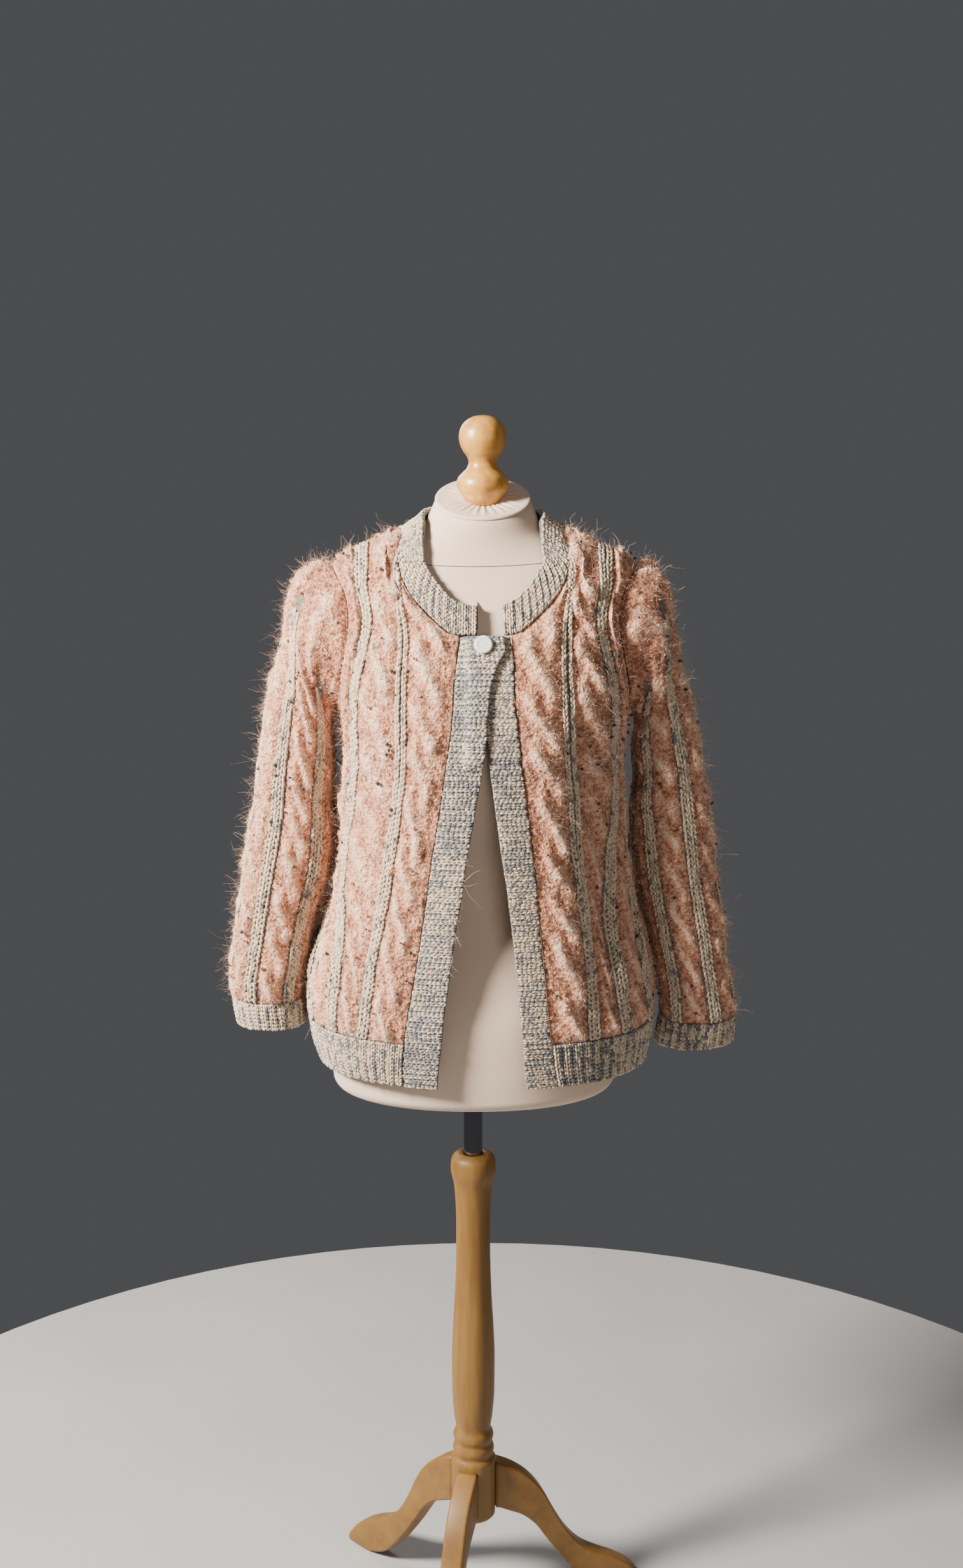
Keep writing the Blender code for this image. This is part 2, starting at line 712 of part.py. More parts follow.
def armhole_line(is_front, side):
    """Side seam and armhole seam of a panel as SIDE_ROWS and ARM_ROWS steps."""
    lower = []
    for z in np.linspace(HEM_TOP, ARMPIT, SIDE_ROWS + 1):
        lower.append(shell_point(z, side * (side_length(z, is_front) - SEAM / 2), is_front))
    upper = []
    for turn in np.linspace(0, math.pi, 300):
        z = ARMPIT + (SHOULDER_TIP - ARMPIT) * (1 - math.cos(turn)) / 2
        upper.append(shell_point(z, side * (arm_length(z, is_front) - SEAM / 2), is_front))
    upper, _ = spread(np.array(upper), ARM_ROWS)
    lower = np.array(lower)
    upper[:, 1] = np.where(np.abs(upper[:, 1]) < SEAM / 2, (-1 if is_front else 1) * SEAM / 2, upper[:, 1])
    line = np.concatenate([lower, upper[1:]])
    length = np.concatenate([[0], np.cumsum(np.linalg.norm(np.diff(line, axis=0), axis=1))])
    return line, length


def skins(base, rise):
    """Inner and outer skins of a panel from its base points and the relief at each."""
    outer = np.empty_like(base)
    normals = np.empty_like(base)
    for index in np.ndindex(base.shape[:2]):
        normal = shell_normal(base[index])
        normals[index] = normal
        outer[index] = base[index] + normal * (WALL + rise[index])
    return outer, normals


def shoulder_stops(neck, full):
    """Where the second column, the third column and the panel's edge meet the shoulder."""
    rest = full - neck
    return neck + 0.55 * rest, neck + 0.86 * rest, full


def front_panel(side):
    table = FRONT_PHASES
    base = np.zeros((BODY_ROWS + 1, len(table) + 1, 3))
    lengths = np.zeros(base.shape[:2])
    edge, along, neck = top_edge(side, True)
    path = None
    for c, phase in enumerate(table):
        stop = np.interp(phase, (0, 1, 1.5, 2, 3, 4), (0, 0.66 * neck, neck, *shoulder_stops(neck, along[-1])))
        end = np.array([np.interp(stop, along, edge[:, k]) for k in range(3)])
        room = 0.0045 * (len(table) - c)
        path = trace(lambda z: front_place(side, phase, z), True, side, end, room, path)
        base[:, c], lengths[:, c] = spread(path, BODY_ROWS)
    base[:, -1], lengths[:, -1] = armhole_line(True, side)
    rise = np.zeros(base.shape[:2])
    for r in range(BODY_ROWS + 1):
        for c, phase in enumerate(table):
            if 0 < r < BODY_ROWS and c > 0:
                rise[r, c] = knit_rise(phase, lengths[r, c], side)
        if r > SIDE_ROWS:
            rise[r, -3:] *= (0.7, 0.4, 0.0)
    for index in np.ndindex(base.shape[:2]):
        x, y, z = base[index]
        s = length_at(x, z, True)
        fade = min(1.0, (z - HEM_TOP) / 0.05)
        if 0 < index[1] < len(table):
            base[index] = base[index] - shell_normal(base[index]) * hollow(FOLDS, side, s, z) * fade
    outer, _ = skins(base, rise)
    rows = inner_lines(BODY_ROWS, 3, (BODY_ROWS - 3,))
    columns = inner_lines(len(table) - 1, 3)
    return base, outer, wall(outer, base, rows, columns)


def back_panel():
    half = np.linspace(0, 1, BACK_HALF + 1)
    width = 2 * BACK_HALF
    base = np.zeros((BODY_ROWS + 1, width + 1, 3))
    lengths = np.zeros(base.shape[:2])
    for side in (-1, 1):
        edge_line, along, neck = top_edge(side, False)
        for k, share in enumerate(half[:-1]):
            stop = np.interp(share, (0, 0.55, 1), (0, neck, along[-1]))
            end = np.array([np.interp(stop, along, edge_line[:, n]) for n in range(3)])
            room = 0.0045 * (BACK_HALF - k)
            path = trace(lambda z: back_place(share, z), False, side, end, room)
            base[:, BACK_HALF + side * k], lengths[:, BACK_HALF + side * k] = spread(path, BODY_ROWS)
        edge = BACK_HALF + side * BACK_HALF
        base[:, edge], lengths[:, edge] = armhole_line(False, side)
    rise = np.zeros(base.shape[:2])
    for r in range(1, BODY_ROWS):
        for c in range(1, width):
            side = -1 if c < BACK_HALF else 1
            phase = abs(c - BACK_HALF) / 3.0 + 0.5
            rise[r, c] = knit_rise(phase, lengths[r, c], -side) * 0.85
        if r > SIDE_ROWS:
            rise[r, :3] *= (0.0, 0.3, 0.6)
            rise[r, -3:] *= (0.6, 0.3, 0.0)
    for index in np.ndindex(base.shape[:2]):
        x, y, z = base[index]
        s = length_at(x, z, False)
        fade = min(1.0, (z - HEM_TOP) / 0.05)
        if 0 < index[1] < width:
            away = hollow(BACK_FOLDS, 1 if x > 0 else -1, s, z) * fade
            base[index] = base[index] - shell_normal(base[index]) * away
    outer, _ = skins(base, rise)
    rows = inner_lines(BODY_ROWS, 3, (BODY_ROWS - 3,))
    columns = range(2, width - 1, 2)
    return base, outer, wall(outer, base, rows, columns)


# Sleeves

SLEEVE_AROUND = 2 * ARM_ROWS
SLEEVE_ROWS = 23


def sleeve_ring(table, side, t):
    """One ring of a sleeve's outer surface before its relief."""
    outer_x, outer_z, under_x, under_z, depth, centre_y = (float(column(table, k, t)) for k in range(1, 7))
    ring = []
    for j in range(SLEEVE_AROUND):
        a = 2 * math.pi * j / SLEEVE_AROUND
        along = math.copysign(abs(math.cos(a)) ** 0.94, math.cos(a))
        over = math.copysign(abs(math.sin(a)) ** 0.94, math.sin(a))
        x = (outer_x + under_x) / 2 + (outer_x - under_x) / 2 * along
        z = (outer_z + under_z) / 2 + (outer_z - under_z) / 2 * along
        ring.append((side * x, centre_y - depth * over, z))
    return np.array(ring)


def armhole_loop(front, behind):
    """The armhole seam as one loop from the shoulder tip down the front and up the back."""
    down = front[SIDE_ROWS:, -1][::-1]
    up = behind[SIDE_ROWS:][1:-1]
    loop = np.concatenate([down, up])
    loop[0] = (down[0] + behind[-1]) / 2
    loop[ARM_ROWS] = (down[-1] + behind[SIDE_ROWS]) / 2
    return loop


def away_from_body(loop, side):
    """Direction in the cloth at each point of the armhole seam, pointing off the body panels."""
    along = np.roll(loop, -1, axis=0) - np.roll(loop, 1, axis=0)
    normals = np.array([shell_normal(p) for p in loop])
    away = np.cross(normals, along) * side
    return away / np.linalg.norm(away, axis=1, keepdims=True)


def grid_normals(grid, side):
    """Outward directions of a ring grid, from its own neighbours."""
    down = np.gradient(grid, axis=0)
    across = np.roll(grid, -1, axis=1) - np.roll(grid, 1, axis=1)
    normal = np.cross(across, down) * side
    size = np.linalg.norm(normal, axis=2, keepdims=True)
    return normal / np.maximum(size, 1e-12)


def eased_normals(grid, side, seam_normals):
    """Outward directions of a sleeve that start from the body's own at the armhole seam."""
    normals = grid_normals(grid, side)
    for r, share in enumerate((1.0, 0.7, 0.3)):
        mixed = seam_normals * share + normals[r] * (1 - share)
        normals[r] = mixed / np.linalg.norm(mixed, axis=1, keepdims=True)
    return normals


def sleeve(side, table, outer_loop, inner_loop):
    shares = np.concatenate([(0.0, 0.012, 0.035, 0.07, 0.11, 0.15), np.linspace(0.19, 1.0, SLEEVE_ROWS - 5)])
    first = sleeve_ring(table, side, 0.0)
    grid = []
    for t in shares:
        ring = sleeve_ring(table, side, t)
        pull = (1 - min(1.0, t / 0.19)) ** 2
        grid.append(ring + (outer_loop - first) * pull)
    grid = np.array(grid)
    shift = away_from_body(outer_loop, side) * EDGE_SEAM
    grid[0] = outer_loop + shift
    seam_normals = np.array([shell_normal(p) for p in inner_loop])
    normals = eased_normals(grid, side, seam_normals)
    lengths = np.concatenate([[0], np.cumsum(np.linalg.norm(np.diff(grid[:, 0], axis=0), axis=1))])
    base = grid.copy()
    for index in np.ndindex(grid.shape[:2]):
        depth = 0.0
        for fold_side, place, turn, half_length, half_width, fall in SLEEVE_FOLDS:
            if fold_side == side:
                apart = abs(index[1] - turn)
                apart = min(apart, SLEEVE_AROUND - apart)
                along = (shares[index[0]] - place) / half_length
                depth += fall * math.exp(-(along**2) - (apart / half_width) ** 2)
        base[index] = grid[index] - normals[index] * depth
    rise = np.zeros(base.shape[:2])
    for r in range(2, len(shares) - 1):
        for j in range(SLEEVE_AROUND):
            phase = (j - 1) * 6.0 / SLEEVE_AROUND
            face = 0.25 + 0.75 * float(smooth((abs(j - ARM_ROWS) - 1) / 3))
            fade = float(smooth((r - 1) / 3))
            rise[r, j] = knit_rise(phase, lengths[r], side) * face * fade
    normals = eased_normals(base, side, seam_normals)
    outer = base + normals * rise[:, :, None]
    inner = base - normals * WALL
    inner[0] = inner_loop + shift
    rows = inner_lines(len(shares) - 1, 3, (1, 2, 3, 5, 6, 12))
    columns = range(0, SLEEVE_AROUND, 2)
    return base, normals, wall(outer, inner, rows, columns, around=True)


def cuff(side, end_ring, end_normals):
    """Ribbed tube that carries the sleeve on to its free edge."""
    outer_x, outer_z, under_x, under_z, depth = CUFF_ENDS[side]
    table = ((0, outer_x, outer_z, under_x, under_z, depth, 0.005), (1, outer_x, outer_z, under_x, under_z, depth, 0.005))
    count = 52
    start, start_normals = resample_ring(end_ring, count, end_normals)
    finish, _ = resample_ring(sleeve_ring(table, side, 0.0), count, end_normals)
    drop = (finish.mean(axis=0) - start.mean(axis=0))
    first = start + drop / np.linalg.norm(drop) * SEAM
    shares = (0.0, 0.08, 1.0)
    grid = np.array([first + (finish - first) * t for t in shares])
    normals = grid_normals(grid, side)
    normals[0] = start_normals
    rise = np.zeros(grid.shape[:2])
    rise[1:, ::2] = RIB_RISE
    outer = grid + normals * rise[:, :, None]
    inner = grid - normals * WALL
    return wall(outer, inner, [1], range(0, count, 4), around=True)


def resample_ring(ring, count, carried):
    """A ring as count evenly spaced points, with another value at each point carried along."""
    closed = np.concatenate([ring, ring[:1]])
    other = np.concatenate([carried, carried[:1]])
    length = np.concatenate([[0], np.cumsum(np.linalg.norm(np.diff(closed, axis=0), axis=1))])
    at = np.linspace(0, length[-1], count + 1)[:-1]
    points = np.stack([np.interp(at, length, closed[:, k]) for k in range(3)], axis=1)
    values = np.stack([np.interp(at, length, other[:, k]) for k in range(3)], axis=1)
    return points, values


# Hem ribs, bands and neckband

def hem_rib(side, is_front):
    """Ribbed border under a front, or under the whole back."""
    bottom = HEM_BOTTOM
    top = HEM_TOP - SEAM
    shares = (0.0, 0.5, 0.95, 1.0) if is_front else (0.0, 0.95, 1.0)
    ribs = round((0.160 if is_front else 0.555) / RIB_PITCH)
    places = np.linspace(0, 1, 2 * ribs + 1)
    base = np.zeros((len(shares), len(places), 3))
    rise = np.zeros(base.shape[:2])
    for r, share in enumerate(shares):
        z = bottom + (top - bottom) * share
        reach = side_length(z, is_front) - SEAM / 2
        for c, place in enumerate(places):
            if is_front:
                start = band_edge(side, z) + EDGE_SEAM
                s = side * (start + (reach - start) * place)
            else:
                s = reach * (2 * place - 1)
            base[r, c] = shell_point(z, s, is_front)
            if c % 2 and r < len(shares) - 1:
                rise[r, c] = RIB_RISE
    outer, _ = skins(base, rise)
    return wall(outer, base, inner_lines(len(shares) - 1, 3), inner_lines(len(places) - 1, 4))


def front_band(side):
    """Band down a front edge. The wearer's right one laps over and has the buttonhole."""
    table = RIGHT_BAND if side < 0 else LEFT_BAND
    lower = np.linspace(HEM_BOTTOM, BUTTON_Z - BUTTONHOLE / 2, BAND_ROWS + 1)
    heights = np.concatenate([lower, (BUTTON_Z + BUTTONHOLE / 2, BAND_TOP - SEAM)])
    steps = len(heights) - 1
    shares = (0.0, 0.48, 0.66, 1.0) if side < 0 else (0.0, 0.5, 1.0)
    base = np.zeros((len(heights), len(shares), 3))
    for r, z in enumerate(heights):
        free = float(column(table, 1, z))
        fixed = float(column(table, 2, z))
        for c, share in enumerate(shares):
            s = free + (fixed - free) * (1 - share)
            point = shell_point(z, s, True)
            lift = 0.0
            if side < 0:
                over = float(smooth((s + 0.024) / 0.010)) if share > 0 else 0.0
                lift = (WALL + 0.0022) * over * float(smooth((z - LAP_BOTTOM + 0.02) / 0.02))
            base[r, c] = point + shell_normal(point) * lift
    outer, _ = skins(base, np.zeros(base.shape[:2]))
    holes = ()
    keep = ()
    if side < 0:
        middle = BAND_ROWS
        holes = ((middle, middle + 1, 1, 2),)
        keep = (middle, middle + 1)
    return wall(outer, base, inner_lines(steps, 4, keep), inner_lines(len(shares) - 1, 1), holes=holes)


def neckband():
    """Ribbed band from one front end round the back of the neck to the other."""
    half = round(0.27 / NECK_RIB_PITCH)
    left_turns = spread_turns(4.9, 180.0, half)
    right_turns = spread_turns(1.6, 180.0, half)
    turns = [-t for t in right_turns] + [t for t in left_turns[::-1][1:]]
    shares = (0.0, 0.1, 0.55, 1.0)
    base = np.zeros((len(shares), len(turns), 3))
    rise = np.zeros(base.shape[:2])
    for c, turn in enumerate(turns):
        angle = abs(turn)
        low = neck_height(angle)
        high = float(column(NECKLINE, 2, angle))
        for r, share in enumerate(shares):
            z = low + (high - low) * share
            base[r, c] = angle_point(z, turn)
            if r == 0:
                ahead = angle_point(neck_height(angle + 0.2), math.copysign(angle + 0.2, turn))
                behind = angle_point(neck_height(angle - 0.2), math.copysign(angle - 0.2, turn))
                away = np.cross(ahead - behind, shell_normal(base[r, c])) * -math.copysign(1, turn)
                base[r, c] += away / np.linalg.norm(away) * (EDGE_SEAM + 0.0004)
            if c % 2 and r > 0 and 0 < c < len(turns) - 1:
                rise[r, c] = 0.0020
    outer, _ = skins(base, rise)
    return wall(outer, base, inner_lines(len(shares) - 1, 3), inner_lines(len(turns) - 1, 3))


def spread_turns(start, end, count):
    """Angles from start to end that cut the neckline into equal lengths."""
    fine = np.linspace(start, end, 400)
    points = np.array([angle_point(neck_height(a) + 0.01, a) for a in fine])
    length = np.concatenate([[0], np.cumsum(np.linalg.norm(np.diff(points, axis=0), axis=1))])
    return list(np.interp(np.linspace(0, length[-1], count + 1), length, fine))




def button():
    """Domed disc and thread shank, turned to lie on the band over its buttonhole."""
    place = shell_point(BUTTON_Z, BUTTON_S, True)
    normal = shell_normal(place)
    centre = place + normal * (2 * WALL + 0.0022 + 0.0018)
    across = np.cross((0, 0, 1.0), normal)
    across /= np.linalg.norm(across)
    up = np.cross(normal, across)
    # radius, distance out from the back of the disc
    profile = (
        (SHANK_RADIUS, -0.0062),
        (SHANK_RADIUS, 0.0),
        (BUTTON_RADIUS - 0.0016, 0.0),
        (BUTTON_RADIUS - 0.0003, 0.0009),
        (BUTTON_RADIUS, 0.0019),
        (BUTTON_RADIUS - 0.0007, 0.0030),
        (BUTTON_RADIUS - 0.0026, BUTTON_THICK - 0.0004),
        (BUTTON_RADIUS * 0.45, BUTTON_THICK),
    )
    count = 20
    rings = []
    for radius, out in profile:
        ring = []
        for i in range(count):
            a = 2 * math.pi * i / count
            ring.append(centre + normal * out + radius * (across * math.cos(a) + up * math.sin(a)))
        rings.append(ring)
    return loft(rings)


# Dress form and stand

FORM_AROUND = 28


def form_ring(z, half, front, behind, power):
    ring = []
    x0 = POLE_X + (z - COLLAR_TOP) * LEAN
    for i in range(FORM_AROUND):
        a = 2 * math.pi * i / FORM_AROUND
        c = math.copysign(abs(math.cos(a)) ** (2 / power), math.cos(a))
        s = math.copysign(abs(math.sin(a)) ** (2 / power), math.sin(a))
        ring.append((x0 + half * c, (behind if s > 0 else front) * s, z))
    return ring


def cap_height(y):
    return CAP_CENTRE_Z + CAP_SLOPE * y


def form_body():
    """Torso with a rounded foot, a socket for the pole and a neck cut off on a slope."""
    rings = []
    socket = POLE_RADIUS + SEAM
    for z in (POLE_TOP + 0.0006, 0.7580):
        rings.append(circle(socket, z, POLE_X, 0.0, FORM_AROUND))
    table = np.array(FORM)
    for fall, draw in ((0.0160, 0.0700), (0.0158, 0.0180), (0.0130, 0.0080), (0.0070, 0.0020)):
        low = table[0]
        rings.append(form_ring(low[0] - fall, low[1] - draw, low[2] - draw, low[3] - draw, low[4]))
    for z in np.concatenate([np.linspace(0.774, 1.38, 13), np.linspace(1.38, 1.464, 9)[1:]]):
        rings.append(form_ring(z, *(float(column(FORM, k, z)) for k in range(1, 5))))
    top = []
    x0 = POLE_X + (CAP_CENTRE_Z - COLLAR_TOP) * LEAN
    for i in range(FORM_AROUND):
        a = 2 * math.pi * i / FORM_AROUND
        y = 0.0530 * math.sin(a)
        top.append((x0 + (NECK_RADIUS - 0.0006) * math.cos(a), y, cap_height(y) - CAP_THICK - SEAM))
    rings.append(top)
    rings[1] = circle(socket, 0.7580, POLE_X, 0.0, FORM_AROUND)
    points, faces = loft(rings)
    return points, faces


def neck_cap():
    """Gathered cloth disc over the end of the neck."""
    x0 = POLE_X + (CAP_CENTRE_Z - COLLAR_TOP) * LEAN
    count = 40
    rings = []

    def ring(radius, lift, wave):
        made = []
        for i in range(count):
            a = 2 * math.pi * i / count
            y = radius * 0.93 * math.sin(a)
            up = lift + wave * (i % 2)
            made.append((x0 + radius * math.cos(a), y, cap_height(y) + up))
        return made

    rings.append(ring(NECK_RADIUS * 0.35, -CAP_THICK, 0.0))
    rings.append(ring(NECK_RADIUS - 0.0014, -CAP_THICK, 0.0))
    rings.append(ring(NECK_RADIUS, -0.0020, 0.0))
    rings.append(ring(NECK_RADIUS - 0.0030, 0.0000, 0.0))
    rings.append(ring(NECK_RADIUS - 0.0190, -0.0006, 0.0016))
    rings.append(ring(NECK_RADIUS * 0.35, -0.0012, 0.0010))
    return loft(rings)


def lathe(profile, x, count=36):
    rings = [circle(radius, z, x, 0.0, count) for radius, z in profile]
    return loft(rings)


def finial():
    x0 = POLE_X + (CAP_CENTRE_Z - COLLAR_TOP) * LEAN
    rings = [circle(radius, z, x0, 0.0, 20) for radius, z in FINIAL]
    foot = []
    for x, y, _ in circle(0.0225, 0.0, x0, 0.0, 20):
        foot.append((x, y, cap_height(y) + 0.0004))
    first = [(x, y, max(z, cap_height(y) + 0.0010)) for x, y, z in rings[0]]
    second = [(x, y, max(z, cap_height(y) + 0.0016)) for x, y, z in rings[1]]
    return loft([foot, first, second] + rings[2:])


def stand_column():
    """Turned column, bored from the top for the pole."""
    rings = [circle(radius, z, POLE_X, 0.0, 20) for radius, z in COLUMN[::-1]]
    rings.append(circle(BORE_RADIUS + 0.0020, COLLAR_TOP + 0.0006, POLE_X, 0.0, 20))
    rings.append(circle(BORE_RADIUS, COLLAR_TOP - 0.0010, POLE_X, 0.0, 20))
    rings.append(circle(BORE_RADIUS, BORE_BOTTOM, POLE_X, 0.0, 20))
    return loft(rings)


def pole():
    profile = (
        (POLE_RADIUS - 0.0008, POLE_BOTTOM),
        (POLE_RADIUS, POLE_BOTTOM + 0.0008),
        (POLE_RADIUS, POLE_TOP - 0.0008),
        (POLE_RADIUS - 0.0008, POLE_TOP),
    )
    return lathe(profile, POLE_X, 24)


def leg(degrees):
    """Flat shaped board from the hub down to its foot."""
    a = math.radians(degrees)
    outward = np.array([math.cos(a), math.sin(a), 0])
    beside = np.array([-math.sin(a), math.cos(a), 0])
    rings = []
    for n, (top_r, top_z, low_r, low_z) in enumerate(LEG):
        half = LEG_HALF - 0.0004 * n / len(LEG)
        chamfer = LEG_CHAMFER if n < len(LEG) - 1 else 0.0045
        top = np.array([top_r, top_z])
        low = np.array([low_r, low_z])
        down = (low - top) / np.linalg.norm(low - top)
        ring = []
        lane = (
            (-half, top + down * chamfer),
            (-half + LEG_CHAMFER, top),
            (0.0, top),
            (half - LEG_CHAMFER, top),
            (half, top + down * chamfer),
            (half, low - down * LEG_CHAMFER),
            (half - LEG_CHAMFER, low),
            (0.0, low),
            (-half + LEG_CHAMFER, low),
            (-half, low - down * LEG_CHAMFER),
        )
        for over, (radius, z) in lane:
            if n == 0:
                radius = math.sqrt(LEG_SEAT**2 - over**2)
            place = outward * radius + beside * over
            ring.append((POLE_X + place[0], place[1], max(z, 0.0)))
        rings.append(ring)
    tip = []
    for x, y, z in rings[-1]:
        tip.append((x + outward[0] * 0.0050, y + outward[1] * 0.0050, 0.0020 + z * 0.45))
    rings.append(tip)
    return loft(rings)


def build():
    for obj in list(bpy.data.objects):
        bpy.data.objects.remove(obj)

    pink = (0.66, 0.40, 0.31)
    marl = (0.46, 0.43, 0.38)
    jersey = (0.66, 0.59, 0.53)
    wood = (0.55, 0.29, 0.10)

    edges = {}
    for side, name in ((-1, "front_right"), (1, "front_left")):
        base, outer, mesh = front_panel(side)
        edges[side] = (base, outer)
        add_object(name, *mesh, material(name + "_knit", pink, 0.92))
    back_base, back_outer, mesh = back_panel()
    add_object("back", *mesh, material("back_knit", pink, 0.92))

    for side, name, table in ((-1, "right", RIGHT_SLEEVE), (1, "left", LEFT_SLEEVE)):
        edge = -1 if side > 0 else 0
        base, outer = edges[side]
        inner_loop = armhole_loop(base, back_base[:, edge])
        outer_loop = armhole_loop(outer, back_outer[:, edge])
        rings, normals, mesh = sleeve(side, table, outer_loop, inner_loop)
        add_object("sleeve_" + name, *mesh, material("sleeve_" + name + "_knit", pink, 0.92))
        mesh = cuff(side, rings[-1], normals[-1])
        add_object("cuff_" + name, *mesh, material("cuff_" + name + "_rib", marl, 0.9))

    add_object("hem_right", *hem_rib(-1, True), material("hem_right_rib", marl, 0.9))
    add_object("hem_left", *hem_rib(1, True), material("hem_left_rib", marl, 0.9))
    add_object("hem_back", *hem_rib(1, False), material("hem_back_rib", marl, 0.9))
    add_object("buttonhole_band", *front_band(-1), material("buttonhole_band_knit", marl, 0.9))
    add_object("button_band", *front_band(1), material("button_band_knit", marl, 0.9))
    add_object("neckband", *neckband(), material("neckband_rib", marl, 0.9))
    add_object("button", *button(), material("button_pearl", (0.86, 0.85, 0.83), 0.22))

    add_object("form_body", *form_body(), material("form_jersey", jersey, 0.85))
    add_object("neck_cap", *neck_cap(), material("cap_jersey", jersey, 0.85))
    add_object("finial", *finial(), material("finial_wood", wood, 0.42))
    add_object("pole", *pole(), material("pole_chrome", (0.62, 0.62, 0.63), 0.16, 1.0))
    add_object("column", *stand_column(), material("column_wood", wood, 0.42))
    for name, degrees in LEG_DIRECTIONS:
        add_object(name, *leg(degrees), material(name + "_wood", wood, 0.42))


build()
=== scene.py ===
"""Looks of the cable knit cardigan on its dress form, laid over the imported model.

Metres, +Z up. The garment faces -Y, and +X is the wearer's left. The cloth surfaces
are worked out from the same sizes as the solids, refined, and given their knit.
"""

import math

import bmesh
import bpy
import numpy as np
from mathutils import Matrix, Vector


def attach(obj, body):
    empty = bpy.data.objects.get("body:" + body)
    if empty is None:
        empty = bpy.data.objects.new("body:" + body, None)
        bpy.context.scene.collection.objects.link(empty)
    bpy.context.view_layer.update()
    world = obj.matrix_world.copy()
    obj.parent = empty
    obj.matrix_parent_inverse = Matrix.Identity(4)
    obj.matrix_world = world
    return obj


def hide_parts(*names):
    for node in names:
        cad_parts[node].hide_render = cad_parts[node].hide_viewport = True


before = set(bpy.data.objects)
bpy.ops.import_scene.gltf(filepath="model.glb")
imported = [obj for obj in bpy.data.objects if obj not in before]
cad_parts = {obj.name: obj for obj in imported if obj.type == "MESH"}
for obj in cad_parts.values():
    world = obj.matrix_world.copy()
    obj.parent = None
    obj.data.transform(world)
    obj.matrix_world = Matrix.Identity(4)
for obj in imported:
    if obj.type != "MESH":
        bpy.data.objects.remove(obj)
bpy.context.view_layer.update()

# Cloth
WALL = 0.0032
SEAM = 0.0004
EDGE_SEAM = 0.0011
CLOTH_BUILD = 0.0065
CABLE_RISE = 0.0055
CABLE_PITCH = 0.060
LAP_ROOM = 0.0022
RIB_RISE = 0.0018

# Heights of the garment
HEM_BOTTOM = 0.800
HEM_TOP = 0.856
ARMPIT = 1.236
SHOULDER_TIP = 1.4120
BAND_TOP = 1.3410
LAP_BOTTOM = 1.205
UPRIGHT_FROM = 1.3300

# Where the whole object stands, so that its box is centred on the origin
PLACE_X = 0.0011
PLACE_Y = 0.0280

# Stand
POLE_X = -0.0137
LEAN = 0.0147
POLE_RADIUS = 0.0120
POLE_TOP = 0.820
BORE_RADIUS = 0.0125
BORE_BOTTOM = 0.235
COLLAR_TOP = 0.660
LEG_SEAT = 0.0303
LEG_HALF = 0.0140
LEG_DIRECTIONS = (("leg_left_back", 135.0), ("leg_front", 255.0), ("leg_right", 15.0))

# Neck cap of the form
CAP_CENTRE_Z = 1.4935
CAP_SLOPE = 0.384
CAP_THICK = 0.0040
NECK_RADIUS = 0.0570

# Button
BUTTON_S = -0.0008
BUTTON_Z = 1.3310
BUTTON_RADIUS = 0.0107
SHANK_RADIUS = 0.0018
BUTTON_LIFT = 0.0018
BUTTON_EDGE = 0.0018

# height, centre x, half width, depth in front, depth behind, squareness
GARMENT = (
    (0.790, 0.000, 0.203, 0.142, 0.134, 2.30),
    (0.831, -0.003, 0.214, 0.147, 0.140, 2.30),
    (0.878, -0.003, 0.2195, 0.150, 0.143, 2.30),
    (0.928, -0.001, 0.2155, 0.150, 0.141, 2.30),
    (0.983, 0.000, 0.198, 0.149, 0.136, 2.30),
    (1.037, 0.000, 0.185, 0.148, 0.130, 2.30),
    (1.100, -0.002, 0.176, 0.148, 0.124, 2.30),
    (1.180, -0.002, 0.173, 0.148, 0.122, 2.35),
    (1.240, 0.000, 0.180, 0.145, 0.122, 2.40),
    (1.300, 0.000, 0.189, 0.131, 0.124, 2.40),
    (1.350, 0.000, 0.191, 0.113, 0.122, 2.35),
    (1.380, 0.000, 0.191, 0.099, 0.114, 2.30),
    (1.400, 0.000, 0.190, 0.088, 0.102, 2.20),
    (1.417, 0.000, 0.182, 0.077, 0.088, 2.10),
    (1.430, -0.001, 0.158, 0.070, 0.078, 2.05),
    (1.442, -0.002, 0.128, 0.066, 0.073, 2.00),
    (1.454, -0.002, 0.100, 0.064, 0.071, 2.00),
    (1.466, -0.002, 0.081, 0.063, 0.069, 2.00),
    (1.480, -0.001, 0.068, 0.061, 0.067, 2.00),
)

# height, half width, depth in front, depth behind, squareness
FORM = (
    (0.7740, 0.1780, 0.1200, 0.1180, 2.20),
    (0.8100, 0.1830, 0.1240, 0.1240, 2.20),
    (0.8600, 0.1860, 0.1260, 0.1280, 2.20),
    (0.9300, 0.1770, 0.1180, 0.1190, 2.20),
    (1.0300, 0.1400, 0.1000, 0.0880, 2.15),
    (1.1000, 0.1420, 0.1080, 0.0880, 2.15),
    (1.1700, 0.1530, 0.1250, 0.0960, 2.20),
    (1.2200, 0.1580, 0.1300, 0.1010, 2.25),
    (1.2800, 0.1620, 0.1180, 0.1050, 2.25),
    (1.3400, 0.1680, 0.1020, 0.1040, 2.20),
    (1.3800, 0.1680, 0.0865, 0.0920, 2.15),
    (1.4000, 0.1670, 0.0765, 0.0810, 2.10),
    (1.4140, 0.1620, 0.0685, 0.0720, 2.05),
    (1.4260, 0.1440, 0.0620, 0.0665, 2.00),
    (1.4360, 0.1150, 0.0575, 0.0625, 2.00),
    (1.4440, 0.0962, 0.0565, 0.0610, 2.00),
    (1.4520, 0.0805, 0.0550, 0.0600, 2.00),
    (1.4640, 0.0680, 0.0545, 0.0590, 2.00),
)

